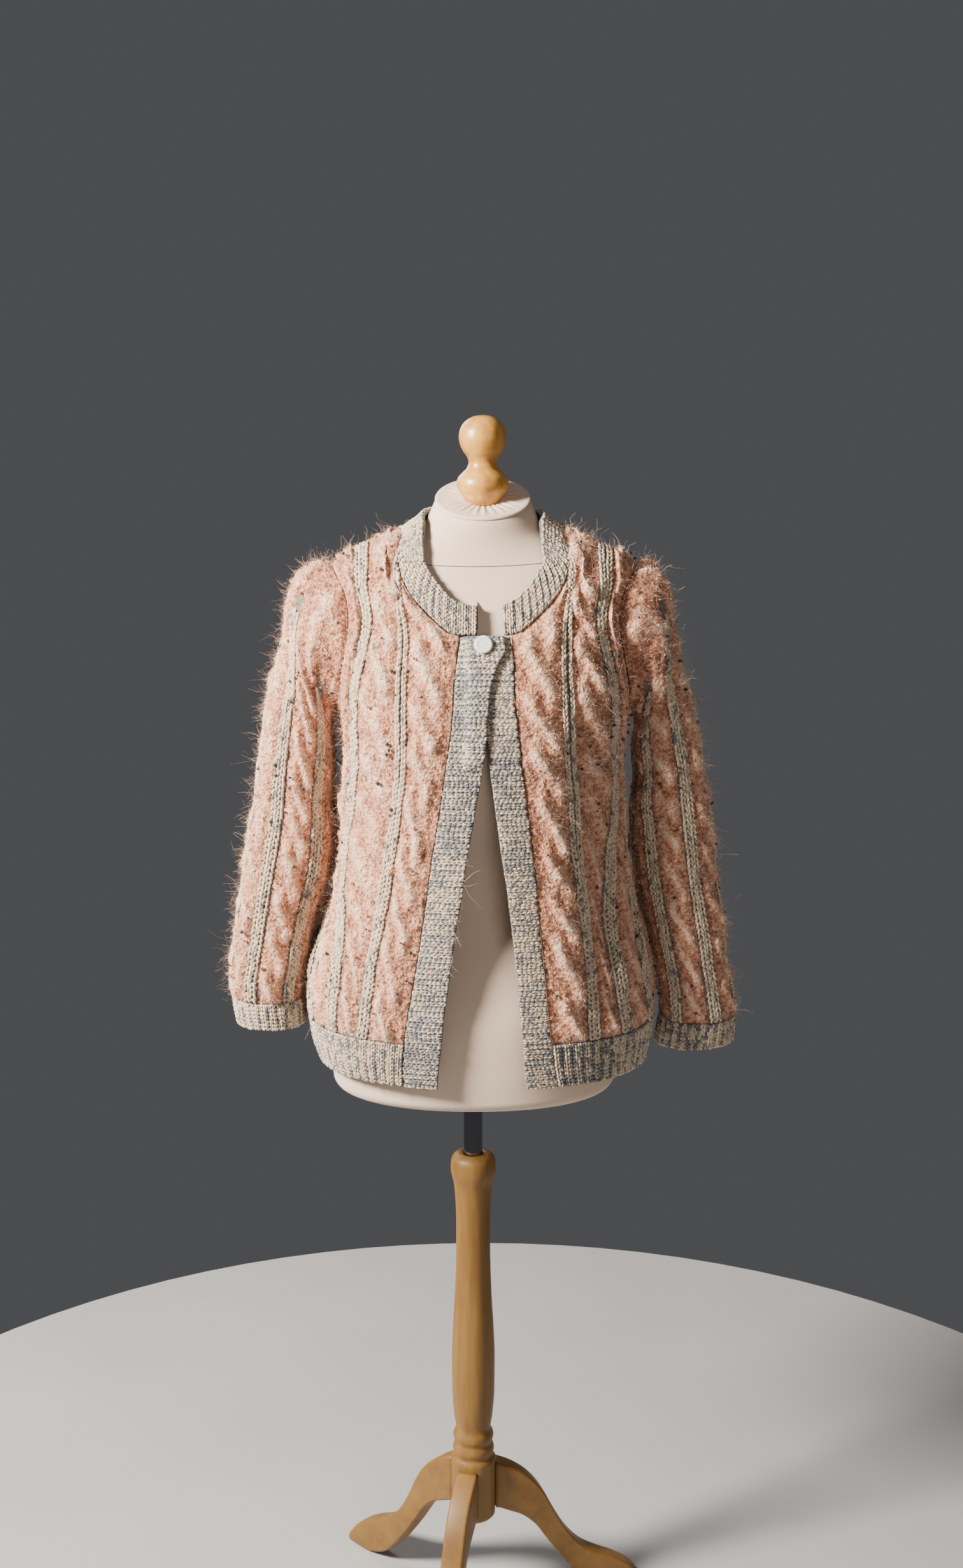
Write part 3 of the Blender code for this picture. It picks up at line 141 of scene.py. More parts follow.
# height, inner edge and outer edge of the wearer's right front band, along the section
RIGHT_BAND = (
    (0.800, -0.0545, -0.0965),
    (0.8545, -0.0475, -0.0917),
    (0.903, -0.0435, -0.0859),
    (0.981, -0.0350, -0.0746),
    (1.058, -0.0225, -0.0631),
    (1.138, -0.0086, -0.0491),
    (1.213, 0.0025, -0.0395),
    (1.263, 0.0052, -0.0350),
    (1.290, 0.0090, -0.0337),
    (1.3127, 0.0175, -0.0310),
    (1.3245, 0.0240, -0.0295),
    (1.341, 0.0226, -0.0264),
)
LEFT_BAND = (
    (0.800, 0.0519, 0.0900),
    (0.853, 0.0495, 0.0840),
    (0.926, 0.0412, 0.0738),
    (1.0155, 0.0305, 0.0638),
    (1.087, 0.0222, 0.0584),
    (1.1585, 0.0130, 0.0500),
    (1.2326, 0.0030, 0.0395),
    (1.2723, -0.0030, 0.0350),
    (1.3125, -0.0075, 0.0336),
    (1.341, -0.0080, 0.0300),
)

# height, first chain column, second chain column, along the section from centre front
RIGHT_COLUMNS = (
    (0.856, 0.1460, 0.1900),
    (0.889, 0.1425, 0.1905),
    (0.954, 0.1365, 0.1885),
    (1.006, 0.1265, 0.1935),
    (1.041, 0.1190, 0.2010),
    (1.088, 0.1105, 0.1940),
    (1.130, 0.1030, 0.1800),
    (1.190, 0.0955, 0.1680),
    (1.250, 0.0965, 0.1660),
    (1.390, 0.0897, 0.1650),
)
LEFT_COLUMNS = (
    (0.856, 0.1380, 0.1850),
    (0.899, 0.1365, 0.1760),
    (0.944, 0.1315, 0.1690),
    (0.996, 0.1245, 0.1640),
    (1.062, 0.1165, 0.1710),
    (1.112, 0.1114, 0.1805),
    (1.147, 0.1085, 0.1850),
    (1.202, 0.1025, 0.1800),
    (1.272, 0.0970, 0.1740),
    (1.390, 0.0950, 0.1740),
)

# angle round from centre front in degrees, height of the neckline, height of the band's free edge
NECKLINE = (
    (1.2, 1.3415, 1.3740),
    (5.0, 1.3415, 1.3765),
    (8.5, 1.3430, 1.3815),
    (12.0, 1.3500, 1.3900),
    (18.0, 1.3665, 1.4080),
    (23.5, 1.3820, 1.4230),
    (28.0, 1.3980, 1.4335),
    (32.5, 1.4140, 1.4400),
    (38.0, 1.4250, 1.4465),
    (50.0, 1.4400, 1.4570),
    (65.0, 1.4490, 1.4665),
    (90.0, 1.4530, 1.4730),
    (120.0, 1.4500, 1.4760),
    (150.0, 1.4420, 1.4740),
    (180.0, 1.4390, 1.4730),
)

# The armhole seam is an oval: its half depth from the side line in front, and behind
ARMHOLE_FRONT = 0.0680
ARMHOLE_BACK = 0.0660

# share of the sleeve, outer x, outer z, under x, under z, half depth, centre y
RIGHT_SLEEVE = (
    (0.000, 0.1790, 1.4150, 0.1762, 1.2365, 0.0620, 0.000),
    (0.035, 0.2000, 1.4130, 0.1792, 1.2395, 0.0625, 0.000),
    (0.070, 0.2140, 1.4060, 0.1822, 1.2370, 0.0620, 0.000),
    (0.110, 0.2240, 1.3920, 0.1842, 1.2290, 0.0610, 0.000),
    (0.170, 0.2325, 1.3660, 0.1850, 1.2170, 0.0600, 0.000),
    (0.260, 0.2400, 1.3160, 0.1850, 1.1960, 0.0590, 0.001),
    (0.360, 0.2580, 1.2620, 0.1845, 1.1630, 0.0580, 0.002),
    (0.470, 0.2715, 1.1900, 0.1840, 1.1180, 0.0560, 0.003),
    (0.580, 0.2845, 1.1080, 0.1865, 1.0630, 0.0540, 0.004),
    (0.700, 0.2985, 1.0240, 0.1995, 0.9980, 0.0520, 0.005),
    (0.820, 0.3095, 0.9450, 0.2165, 0.9360, 0.0490, 0.006),
    (0.930, 0.3155, 0.8930, 0.2265, 0.8900, 0.0460, 0.006),
    (1.000, 0.3150, 0.8740, 0.2280, 0.8720, 0.0450, 0.006),
)
LEFT_SLEEVE = (
    (0.000, 0.1790, 1.4150, 0.1762, 1.2365, 0.0620, 0.000),
    (0.035, 0.1970, 1.4120, 0.1792, 1.2395, 0.0625, 0.000),
    (0.070, 0.2080, 1.4020, 0.1822, 1.2370, 0.0620, 0.000),
    (0.110, 0.2160, 1.3860, 0.1842, 1.2290, 0.0610, 0.000),
    (0.170, 0.2220, 1.3580, 0.1850, 1.2170, 0.0600, 0.000),
    (0.260, 0.2290, 1.3140, 0.1845, 1.1960, 0.0590, 0.001),
    (0.360, 0.2470, 1.2620, 0.1830, 1.1630, 0.0580, 0.002),
    (0.470, 0.2645, 1.1880, 0.1820, 1.1180, 0.0560, 0.003),
    (0.580, 0.2790, 1.1000, 0.1850, 1.0630, 0.0540, 0.004),
    (0.700, 0.2900, 1.0120, 0.1985, 0.9950, 0.0520, 0.005),
    (0.820, 0.3000, 0.9350, 0.2150, 0.9250, 0.0490, 0.005),
    (0.930, 0.3110, 0.8760, 0.2235, 0.8720, 0.0460, 0.005),
    (1.000, 0.3155, 0.8490, 0.2240, 0.8460, 0.0450, 0.005),
)

# free edge of each side's cuff: outer x, outer z, under x, under z, half depth, centre y
CUFF_ENDS = {
    -1: (0.3085, 0.8385, 0.2270, 0.8370, 0.0425, 0.005),
    1: (0.3125, 0.8150, 0.2180, 0.8110, 0.0430, 0.005),
}

# side, distance from centre front, height, half length, half width, depth of a soft hollow
FOLDS = (
    (1, 0.145, 1.010, 0.120, 0.026, 0.012),
    (1, 0.212, 0.930, 0.090, 0.022, 0.006),
    (1, 0.120, 1.200, 0.075, 0.022, 0.004),
    (-1, 0.155, 0.985, 0.110, 0.024, 0.007),
    (-1, 0.122, 1.130, 0.080, 0.022, 0.004),
    (-1, 0.225, 1.010, 0.090, 0.022, 0.005),
)

# side, distance from centre back, height, half length, half width, depth
BACK_FOLDS = (
    (-1, 0.060, 0.985, 0.110, 0.026, 0.006),
    (1, 0.092, 1.020, 0.130, 0.028, 0.007),
    (1, 0.190, 0.940, 0.100, 0.024, 0.006),
    (-1, 0.175, 1.060, 0.090, 0.026, 0.006),
    (-1, 0.020, 1.240, 0.070, 0.026, 0.004),
)

# side, share of the sleeve, index round it, half length, half width in steps, depth
SLEEVE_FOLDS = (
    (-1, 0.46, 9.0, 0.050, 3.0, 0.0055),
    (-1, 0.56, 5.0, 0.045, 2.6, 0.005),
    (-1, 0.74, 10.0, 0.060, 2.8, 0.004),
    (-1, 0.52, 21.0, 0.055, 3.0, 0.006),
    (1, 0.40, 10.5, 0.050, 3.0, 0.007),
    (1, 0.55, 7.5, 0.050, 2.6, 0.004),
    (1, 0.68, 4.0, 0.055, 2.8, 0.005),
    (1, 0.50, 22.0, 0.060, 3.0, 0.006),
)

# radius, height up the wooden column
COLUMN = (
    (0.0210, 0.6600),
    (0.0258, 0.6565),
    (0.0283, 0.6500),
    (0.0288, 0.6420),
    (0.0284, 0.6345),
    (0.0266, 0.6270),
    (0.0243, 0.6150),
    (0.0219, 0.5650),
    (0.0220, 0.5280),
    (0.0238, 0.4660),
    (0.0264, 0.4205),
    (0.0281, 0.3750),
    (0.0278, 0.3290),
    (0.0253, 0.2930),
    (0.0228, 0.2740),
    (0.0256, 0.2680),
    (0.0266, 0.2630),
    (0.0256, 0.2580),
    (0.0236, 0.2550),
    (0.0262, 0.2495),
    (0.0274, 0.2440),
    (0.0262, 0.2385),
    (0.0246, 0.2355),
    (0.0290, 0.2310),
    (0.0292, 0.2250),
    (0.0290, 0.1500),
    (0.0262, 0.1460),
)
FINIAL = (
    (0.0255, 1.4960),
    (0.0300, 1.5030),
    (0.0312, 1.5090),
    (0.0296, 1.5160),
    (0.0240, 1.5225),
    (0.0190, 1.5275),
    (0.0168, 1.5345),
    (0.0186, 1.5405),
    (0.0232, 1.5470),
    (0.0270, 1.5550),
    (0.0284, 1.5625),
    (0.0274, 1.5710),
    (0.0236, 1.5790),
    (0.0170, 1.5850),
    (0.0085, 1.5885),
    (0.0022, 1.5893),
)

# flat width and length of each cut piece
FLAT = {
    "front_right": (0.235, 0.64),
    "front_left": (0.235, 0.64),
    "back": (0.56, 0.64),
    "sleeve_right": (0.43, 0.56),
    "sleeve_left": (0.43, 0.56),
    "cuff_right": (0.27, 0.037),
    "cuff_left": (0.27, 0.037),
    "hem_right": (0.172, 0.056),
    "hem_left": (0.172, 0.056),
    "hem_back": (0.555, 0.056),
    "buttonhole_band": (0.042, 0.55),
    "button_band": (0.042, 0.55),
    "neckband": (0.60, 0.047),
}

# seed of each piece's marl shades
SEEDS = {
    "front_right": 30,
    "front_left": 32,
    "back": 41,
    "sleeve_right": 50,
    "sleeve_left": 52,
    "cuff_right": 90,
    "cuff_left": 92,
    "hem_right": 60,
    "hem_left": 62,
    "hem_back": 62,
    "buttonhole_band": 70,
    "button_band": 72,
    "neckband": 81,
}

# share of its flat rectangle that a pink piece fills, and the area that its fibres are counted for
FILLED = {
    "front_right": (0.86, 0.125),
    "front_left": (0.86, 0.125),
    "back": (0.88, 0.27),
    "sleeve_right": (0.92, 0.215),
    "sleeve_left": (0.92, 0.215),
}

# radius and height of the top edge, radius and height of the lower edge
LEG = (
    (0.0303, 0.2220, 0.0303, 0.1560),
    (0.0520, 0.2110, 0.0470, 0.1480),
    (0.0720, 0.1960, 0.0660, 0.1380),
    (0.0880, 0.1780, 0.0830, 0.1220),
    (0.1000, 0.1580, 0.0960, 0.1030),
    (0.1130, 0.1320, 0.1100, 0.0820),
    (0.1290, 0.1040, 0.1260, 0.0600),
    (0.1490, 0.0800, 0.1430, 0.0380),
    (0.1710, 0.0650, 0.1620, 0.0180),
    (0.1960, 0.0520, 0.1840, 0.0060),
    (0.2200, 0.0360, 0.2060, 0.0000),
    (0.2350, 0.0180, 0.2320, 0.0000),
)


# Surfaces and lines of the garment


def curve(xs, ys, x):
    """A smooth curve through the points that never overshoots them."""
    xs = np.asarray(xs, float)
    ys = np.asarray(ys, float)
    step = np.diff(xs)
    slope = np.diff(ys) / step
    tangent = np.zeros(len(xs))
    both = slope[:-1] + slope[1:]
    safe = np.where(both == 0, 1, both)
    tangent[1:-1] = np.where(slope[:-1] * slope[1:] > 0, 2 * slope[:-1] * slope[1:] / safe, 0)
    tangent[0] = slope[0]
    tangent[-1] = slope[-1]
    x = np.clip(np.asarray(x, float), xs[0], xs[-1])
    i = np.clip(np.searchsorted(xs, x, side="right") - 1, 0, len(xs) - 2)
    t = (x - xs[i]) / step[i]
    rise = t * t * (3 - 2 * t)
    bend = step[i] * (t * (1 - t) ** 2 * tangent[i] - t * t * (1 - t) * tangent[i + 1])
    return ys[i] * (1 - rise) + ys[i + 1] * rise + bend


def column(table, index, x):
    rows = np.array(table)
    return curve(rows[:, 0], rows[:, index], x)


def smooth(t):
    t = np.clip(t, 0, 1)
    return t * t * (3 - 2 * t)


def run_of(points):
    """Length along a line of points, up to each of them."""
    return np.concatenate([[0], np.cumsum(np.linalg.norm(np.diff(points, axis=0), axis=1))])


def unit(vectors):
    """The same directions, each with a length of one."""
    return vectors / np.maximum(np.linalg.norm(vectors, axis=-1, keepdims=True), 1e-12)


def signed_power(value, power):
    return math.copysign(abs(value) ** power, value)


HEIGHT_STEP = 0.0005
HEIGHTS = np.arange(0.789, 1.4811, HEIGHT_STEP)
SECTIONS = [column(GARMENT, k, HEIGHTS) - (CLOTH_BUILD if k in (2, 3, 4) else 0) for k in range(1, 6)]
ANGLES = np.linspace(0, math.pi / 2, 121)
SIN = np.sin(ANGLES)
COS = np.cos(ANGLES)


def section(z):
    """Centre, half width, front depth, back depth and squareness of the inner skin at a height."""
    at = min(max((z - HEIGHTS[0]) / HEIGHT_STEP, 0.0), len(HEIGHTS) - 1.001)
    low = int(at)
    share = at - low
    return [float(row[low] * (1 - share) + row[low + 1] * share) for row in SECTIONS]


def quarter(z, is_front):
    """Points of a quarter section from its centre to the side, and the length along it."""
    centre, half, front, behind, power = section(z)
    depth = front if is_front else behind
    x = half * SIN ** (2 / power)
    y = depth * np.maximum(COS, 0) ** (2 / power)
    length = np.concatenate([[0], np.cumsum(np.hypot(np.diff(x), np.diff(y)))])
    return float(centre), x, y, length


def side_length(z, is_front=True):
    return quarter(z, is_front)[3][-1]


def shell_point(z, s, is_front=True):
    """Point of the garment surface at a height and a signed length from the centre line."""
    centre, x, y, length = quarter(z, is_front)
    across = np.interp(abs(s), length, x)
    out = np.interp(abs(s), length, y)
    return np.array([centre + math.copysign(across, s), -out if is_front else out, z])


def length_at(x, z, is_front=True):
    centre, across, _, length = quarter(z, is_front)
    return float(np.interp(abs(x - centre), across, length))


def shell_normal(point):
    """Outward direction of the garment surface at a point on it."""
    x, y, z = point

    def level(a, b, c):
        centre, half, front, behind, power = section(c)
        depth = front if b < 0 else behind
        return (abs(a - centre) / half) ** power + (abs(b) / depth) ** power

    step = 5e-4
    gradient = np.array(
        [
            level(x + step, y, z) - level(x - step, y, z),
            level(x, y + step, z) - level(x, y - step, z),
            level(x, y, z + step) - level(x, y, z - step),
        ]
    )
    return unit(gradient)


def angle_point(z, degrees):
    """Point of the garment surface at a height and an angle round from the centre front."""
    centre, half, front, behind, power = section(z)
    a = math.radians(degrees)
    x = half * signed_power(math.sin(a), 2 / power)
    y = -(front if math.cos(a) > 0 else behind) * signed_power(math.cos(a), 2 / power)
    return np.array([centre + x, y, z])


def hollow(table, side, s, z):
    """Depth of the soft folds at a place on the front or the back."""
    depth = 0.0
    for fold_side, place, height, half_length, half_width, fall in table:
        if fold_side == side:
            along = (z - height) / half_length
            over = (s - place) / half_width
            depth += fall * math.exp(-(along**2) - over**2)
    return depth


def merge_strip(faces, first, first_at, second, second_at):
    """Triangles between two edge lines, taken in step with their own parameters."""
    i = 0
    j = 0
    while i < len(first) - 1 or j < len(second) - 1:
        if j == len(second) - 1 or (i < len(first) - 1 and first_at[i + 1] <= second_at[j + 1]):
            faces.append((first[i], first[i + 1], second[j]))
            i += 1
        else:
            faces.append((first[i], second[j + 1], second[j]))
            j += 1


def inner_lines(count, step):
    """Coarse lines of an inner skin between its first and last, every step-th one."""
    return sorted(set(range(1, count, step)) | {count - 1})


def wall(outer, inner, rows, columns, around=False):
    """Closed wall of a fine outer skin and an inner skin that is fine at its edges only."""
    height, width = outer.shape[:2]
    points = [tuple(p) for p in outer.reshape(-1, 3)]
    inside = {}

    def out(r, c):
        return r * width + (c % width if around else c)

    def within(r, c):
        key = (r, c % width if around else c)
        if key not in inside:
            inside[key] = len(points)
            points.append(tuple(inner[key]))
        return inside[key]

    faces = []
    last = width if around else width - 1
    if around:
        columns = list(columns) + [width]
    for r in range(height - 1):
        for c in range(last):
            faces.append((out(r, c), out(r, c + 1), out(r + 1, c + 1), out(r + 1, c)))
    for r, r2 in zip(rows, rows[1:]):
        for c, c2 in zip(columns, columns[1:]):
            faces.append((within(r, c), within(r2, c), within(r2, c2), within(r, c2)))
    across = list(range(last + 1))
    for edge, line in ((0, rows[0]), (height - 1, rows[-1])):
        rim = [within(edge, c) for c in across]
        merge_strip(faces, rim, across, [within(line, c) for c in columns], columns)
        for c in range(last):
            faces.append((out(edge, c), out(edge, c + 1), within(edge, c + 1), within(edge, c)))
    if not around:
        up = list(range(height))
        for edge, line in ((0, columns[0]), (last, columns[-1])):
            rim = [within(r, edge) for r in up]
            merge_strip(faces, rim, up, [within(r, line) for r in rows], rows)
            for r in range(height - 1):
                faces.append((out(r, edge), out(r + 1, edge), within(r + 1, edge), within(r, edge)))
    return points, faces


def loft(rings):
    """Faces through rings of equal count, each ring closed, with flat ends."""
    count = len(rings[0])
    points = [tuple(p) for ring in rings for p in ring]
    faces = []
    for a in range(0, (len(rings) - 1) * count, count):
        for c in range(count):
            d = (c + 1) % count
            faces.append((a + c, a + d, a + count + d, a + count + c))
    faces.append(tuple(range(count)))
    faces.append(tuple(range(len(points) - count, len(points))))
    return points, faces


def circle(radius, z, x, count):
    turn = 2 * math.pi / count
    return [(x + radius * math.cos(turn * i), radius * math.sin(turn * i), z) for i in range(count)]


SIDE_ROWS = 20
ARM_ROWS = 12
BODY_ROWS = SIDE_ROWS + ARM_ROWS

# share of each repeat where a line of points runs
REPEAT_AT = (0.0, 0.13, 0.31, 0.5, 0.69, 0.87)
FRONT_PHASES = REPEAT_AT + tuple(1 + p for p in REPEAT_AT) + (2.0, 2.22, 2.5, 2.78, 3.0)
BACK_HALF = 13
NECK_STEPS = 260
LINE_ROOM = 0.0045
LINES_APART = 0.0035
FOLD_FADE = 0.05
THIRD_COLUMN = 0.056
SWEEP_LOW = 1.268
SWEEP_HIGH = 1.380


def band_edge(side, z):
    return abs(float(column(RIGHT_BAND if side < 0 else LEFT_BAND, 2, z)))


def armhole_cut(z, is_front):
    """Length from the side line to the armhole seam at a height."""
    middle = (ARMPIT + SHOULDER_TIP) / 2
    up = (z - middle) / (SHOULDER_TIP - middle)
    if abs(up) >= 1:
        return 0.0
    depth = (ARMHOLE_FRONT if is_front else ARMHOLE_BACK) * math.sqrt(1 - up * up)
    _, _, out, length = quarter(z, is_front)
    return float(length[-1] - np.interp(-depth, -out, length))


def arm_length(z, is_front):
    """Length from the centre line to the side seam, or to the armhole seam above the armpit."""
    return side_length(z, is_front) - armhole_cut(z, is_front)


def inner_reach(z, is_front):
    """Reach of the lines inside a panel, which pass the armhole in an even sweep."""
    low = armhole_cut(SWEEP_LOW, is_front) * float(smooth((z - 1.10) / 0.168))
    high = armhole_cut(SWEEP_HIGH, is_front) * (1 - float(smooth((z - SWEEP_HIGH) / 0.056)))
    sweep = low if z < SWEEP_LOW else (high if z > SWEEP_HIGH else 0.0)
    return side_length(z, is_front) - max(armhole_cut(z, is_front), sweep)


def front_place(side, phase, z):
    """Length along the section of a line of points on a front, by its share of the repeats."""
    start = band_edge(side, z) + EDGE_SEAM
    table = RIGHT_COLUMNS if side < 0 else LEFT_COLUMNS
    reach = inner_reach(z, True) - SEAM / 2
    one = float(column(table, 1, z))
    two = min(float(column(table, 2, z)), reach - 0.35 * (reach - one))
    three = min(two + THIRD_COLUMN, two + 0.72 * (reach - two))
    stops = (start, one, two, three, reach)
    return float(np.interp(phase, (0, 1, 2, 3, 4), stops))


def back_place(phase, z):
    return phase * (inner_reach(z, False) - SEAM / 2)


def neck_height(degrees):
    return float(column(NECKLINE, 1, degrees))


def top_edge(side, is_front):
    """Points and lengths along the neckline and on down the shoulder seam to its tip."""
    first = 180.0
    if is_front:
        first = next(a for a in np.arange(0.5, 60, 0.05) if over_edge(side, a))
    points = [angle_point(neck_height(turn), side * turn) for turn in np.linspace(first, 90.0, NECK_STEPS)]
    for z in np.linspace(neck_height(90.0), SHOULDER_TIP, 120)[1:]:
        points.append(angle_point(z, side * 90.0))
    points = np.array(points)
    points[:, 1] += np.where(np.abs(points[:, 1]) < SEAM / 2, -SEAM / 2 if is_front else SEAM / 2, 0)
    length = run_of(points)
    return points, length, length[NECK_STEPS - 1]


def over_edge(side, turn):
    """Whether a place on the neckline lies past the outer edge of the front band."""
    z = neck_height(turn)
    point = angle_point(z, side * turn)
    return length_at(point[0], z, True) >= band_edge(side, z) + EDGE_SEAM


NECK_ANGLES = np.linspace(9.0, 90.0, 82)
NECK_POINTS = np.array([angle_point(neck_height(a), a) for a in NECK_ANGLES])


def trace(place, is_front, side, end, room, before=None):
    """Points up one line of a body panel, from the hem rib to its end on the top edge."""
    end_z = end[2]
    turn = min(UPRIGHT_FROM, end_z - 0.02)
    upright = shell_point(turn, side * place(turn), is_front)[0]
    points = []
    for share in np.concatenate([np.linspace(0, 0.8, 60), 1 - 0.2 * np.linspace(1, 0, 90)[1:] ** 2]):
        z = HEM_TOP + (end_z - HEM_TOP) * share
        if z <= turn:
            points.append(shell_point(z, side * min(place(z), side_length(z, is_front)), is_front))
            continue
        x = upright + (end[0] - upright) * float(smooth((z - turn) / (end_z - turn)))
        centre = section(z)[0]
        edge = abs(shell_point(z, side * arm_length(z, is_front), is_front)[0] - centre)
        edge -= room * min(1.0, (end_z - z) / 0.02)
        across = min(abs(x - centre), edge)
        if before is not None:
            neck = float(np.interp(z, NECK_POINTS[:, 2], np.maximum.accumulate(NECK_POINTS[:, 0])))
            if z < before[-1, 2]:
                neck = max(neck, abs(np.interp(z, before[:, 2], before[:, 0]) - centre) + centre)
            across = max(across, neck - centre + LINES_APART * min(1.0, (end_z - z) / 0.012))
        s = length_at(centre + side * across, z, is_front)
        points.append(shell_point(z, side * s, is_front))
    points[-1] = end
    return np.array(points)


def spread(points, count):
    """The same line as evenly spaced points, and the length up to each."""
    length = run_of(points)
    at = np.linspace(0, length[-1], count + 1)
    return np.stack([np.interp(at, length, points[:, k]) for k in range(3)], axis=1), at


def armhole_line(is_front, side):
    """Side seam and armhole seam of a panel as SIDE_ROWS and ARM_ROWS steps."""
    lower = []
    for z in np.linspace(HEM_TOP, ARMPIT, SIDE_ROWS + 1):
        lower.append(shell_point(z, side * (side_length(z, is_front) - SEAM / 2), is_front))
    upper = []
    for turn in np.linspace(0, math.pi, 300):
        z = ARMPIT + (SHOULDER_TIP - ARMPIT) * (1 - math.cos(turn)) / 2
        upper.append(shell_point(z, side * (arm_length(z, is_front) - SEAM / 2), is_front))
    upper, _ = spread(np.array(upper), ARM_ROWS)
    upper[:, 1] = np.where(np.abs(upper[:, 1]) < SEAM / 2, (-1 if is_front else 1) * SEAM / 2, upper[:, 1])
    line = np.concatenate([np.array(lower), upper[1:]])
    return line, run_of(line)


def skin_of(base):
    """Outer skin of a panel without its relief."""
    outer = np.empty_like(base)
    for index in np.ndindex(base.shape[:2]):
        outer[index] = base[index] + shell_normal(base[index]) * WALL
    return outer


def shoulder_stops(neck, full):
    """Where the second column, the third column and the panel's edge meet the shoulder."""
    rest = full - neck
    return neck + 0.55 * rest, neck + 0.86 * rest, full


SLEEVE_AROUND = 2 * ARM_ROWS
SLEEVE_ROWS = 23
SLEEVE_SQUARE = 0.94
PULL_END = 0.19


def sleeve_ring(sizes, side):
    """One ring of a sleeve's outer surface before its relief, from a row's sizes."""
    outer_x, outer_z, under_x, under_z, depth, centre_y = sizes
    ring = []
    for j in range(SLEEVE_AROUND):
        a = 2 * math.pi * j / SLEEVE_AROUND
        along = signed_power(math.cos(a), SLEEVE_SQUARE)
        over = signed_power(math.sin(a), SLEEVE_SQUARE)
        x = (outer_x + under_x) / 2 + (outer_x - under_x) / 2 * along
        z = (outer_z + under_z) / 2 + (outer_z - under_z) / 2 * along
        ring.append((side * x, centre_y - depth * over, z))
    return np.array(ring)


def armhole_loop(front, behind):
    """The armhole seam as one loop from the shoulder tip down the front and up the back."""
    down = front[SIDE_ROWS:, -1][::-1]
    up = behind[SIDE_ROWS:][1:-1]
    loop = np.concatenate([down, up])
    loop[0] = (down[0] + behind[-1]) / 2
    loop[ARM_ROWS] = (down[-1] + behind[SIDE_ROWS]) / 2
    return loop


def away_from_body(loop, side):
    """Direction in the cloth at each point of the armhole seam, pointing off the body panels."""
    along = np.roll(loop, -1, axis=0) - np.roll(loop, 1, axis=0)
    normals = np.array([shell_normal(p) for p in loop])
    return unit(np.cross(normals, along) * side)


def grid_normals(grid, side):
    """Outward directions of a ring grid, from its own neighbours."""
    down = np.gradient(grid, axis=0)
    across = np.roll(grid, -1, axis=1) - np.roll(grid, 1, axis=1)
    return unit(np.cross(across, down) * side)


def resample_ring(ring, count):
    """A ring as count evenly spaced points."""
    return spread(np.concatenate([ring, ring[:1]]), count)[0][:-1]


def spread_turns(start, end, count):
    """Angles from start to end that cut the neckline into equal lengths."""
    fine = np.linspace(start, end, 400)
    length = run_of(np.array([angle_point(neck_height(a) + 0.01, a) for a in fine]))
    return list(np.interp(np.linspace(0, length[-1], count + 1), length, fine))


FORM_AROUND = 96
CAP_X = POLE_X + (CAP_CENTRE_Z - COLLAR_TOP) * LEAN


def form_ring(z, half, front, behind, power):
    ring = []
    for i in range(FORM_AROUND):
        a = 2 * math.pi * i / FORM_AROUND
        c = signed_power(math.cos(a), 2 / power)
        s = signed_power(math.sin(a), 2 / power)
        ring.append((POLE_X + (z - COLLAR_TOP) * LEAN + half * c, (behind if s > 0 else front) * s, z))
    return ring


def form_level(z):
    """Ring of the form's surface at a height."""
    return form_ring(z, *(float(column(FORM, k, z)) for k in range(1, 5)))


def cap_height(y):
    return CAP_CENTRE_Z + CAP_SLOPE * y


rng = np.random.default_rng(7)
PLACE = np.array([PLACE_X, PLACE_Y, 0.0])
FINE = 6
BACK_FINE = 5


# Fine grids


def refine_axis(grid, factor, axis, around=False):
    """Smooth lines through the rows of a grid, with factor steps between two rows."""
    grid = np.moveaxis(np.asarray(grid, float), axis, 0)
    count = len(grid)
    if around:
        padded = np.concatenate([grid[-1:], grid, grid[:2]])
        steps = count * factor
    else:
        first = 2 * grid[:1] - grid[1:2]
        last = 2 * grid[-1:] - grid[-2:-1]
        padded = np.concatenate([first, grid, last])
        steps = (count - 1) * factor + 1
    at = np.arange(steps) / factor
    low = np.minimum(at.astype(int), count - (1 if around else 2))
    t = (at - low).reshape((-1,) + (1,) * (grid.ndim - 1))
    a, b, c, d = (padded[low + k] for k in range(4))
    made = 0.5 * (2 * b + (c - a) * t + (2 * a - 5 * b + 4 * c - d) * t**2 + (3 * b - a - 3 * c + d) * t**3)
    return np.moveaxis(made, 0, axis)


def refine(grid, rows, columns, around=False):
    return refine_axis(refine_axis(grid, rows, 0), columns, 1, around)


def outward(grid, around=False):
    """Unit normals of a grid, turned away from the body's axis or from each ring's middle."""
    down = np.gradient(grid, axis=0)
    if around:
        across = (np.roll(grid, -1, axis=1) - np.roll(grid, 1, axis=1)) / 2
        away = grid - grid.mean(axis=1, keepdims=True)
    else:
        across = np.gradient(grid, axis=1)
        away = grid * (1, 1, 0)
    normal = unit(np.cross(across, down))
    return normal * (1.0 if np.sum(away * normal) > 0 else -1.0)


def lattice(points, size, seed):
    """Smooth random values from -1 to 1, with features of a given size in metres."""
    cells = 24
    table = np.random.default_rng(seed).uniform(-1, 1, (cells, cells, cells))
    at = np.asarray(points) / size
    low = np.floor(at).astype(int)
    t = at - low
    t = t * t * (3 - 2 * t)
    total = 0.0
    for i in (0, 1):
        for j in (0, 1):
            for k in (0, 1):
                share = (t[..., 0] if i else 1 - t[..., 0]) * (t[..., 1] if j else 1 - t[..., 1])
                share = share * (t[..., 2] if k else 1 - t[..., 2])
                at_cell = (low[..., 0] + i) % cells, (low[..., 1] + j) % cells, (low[..., 2] + k) % cells
                total = total + share * table[at_cell]
    return total


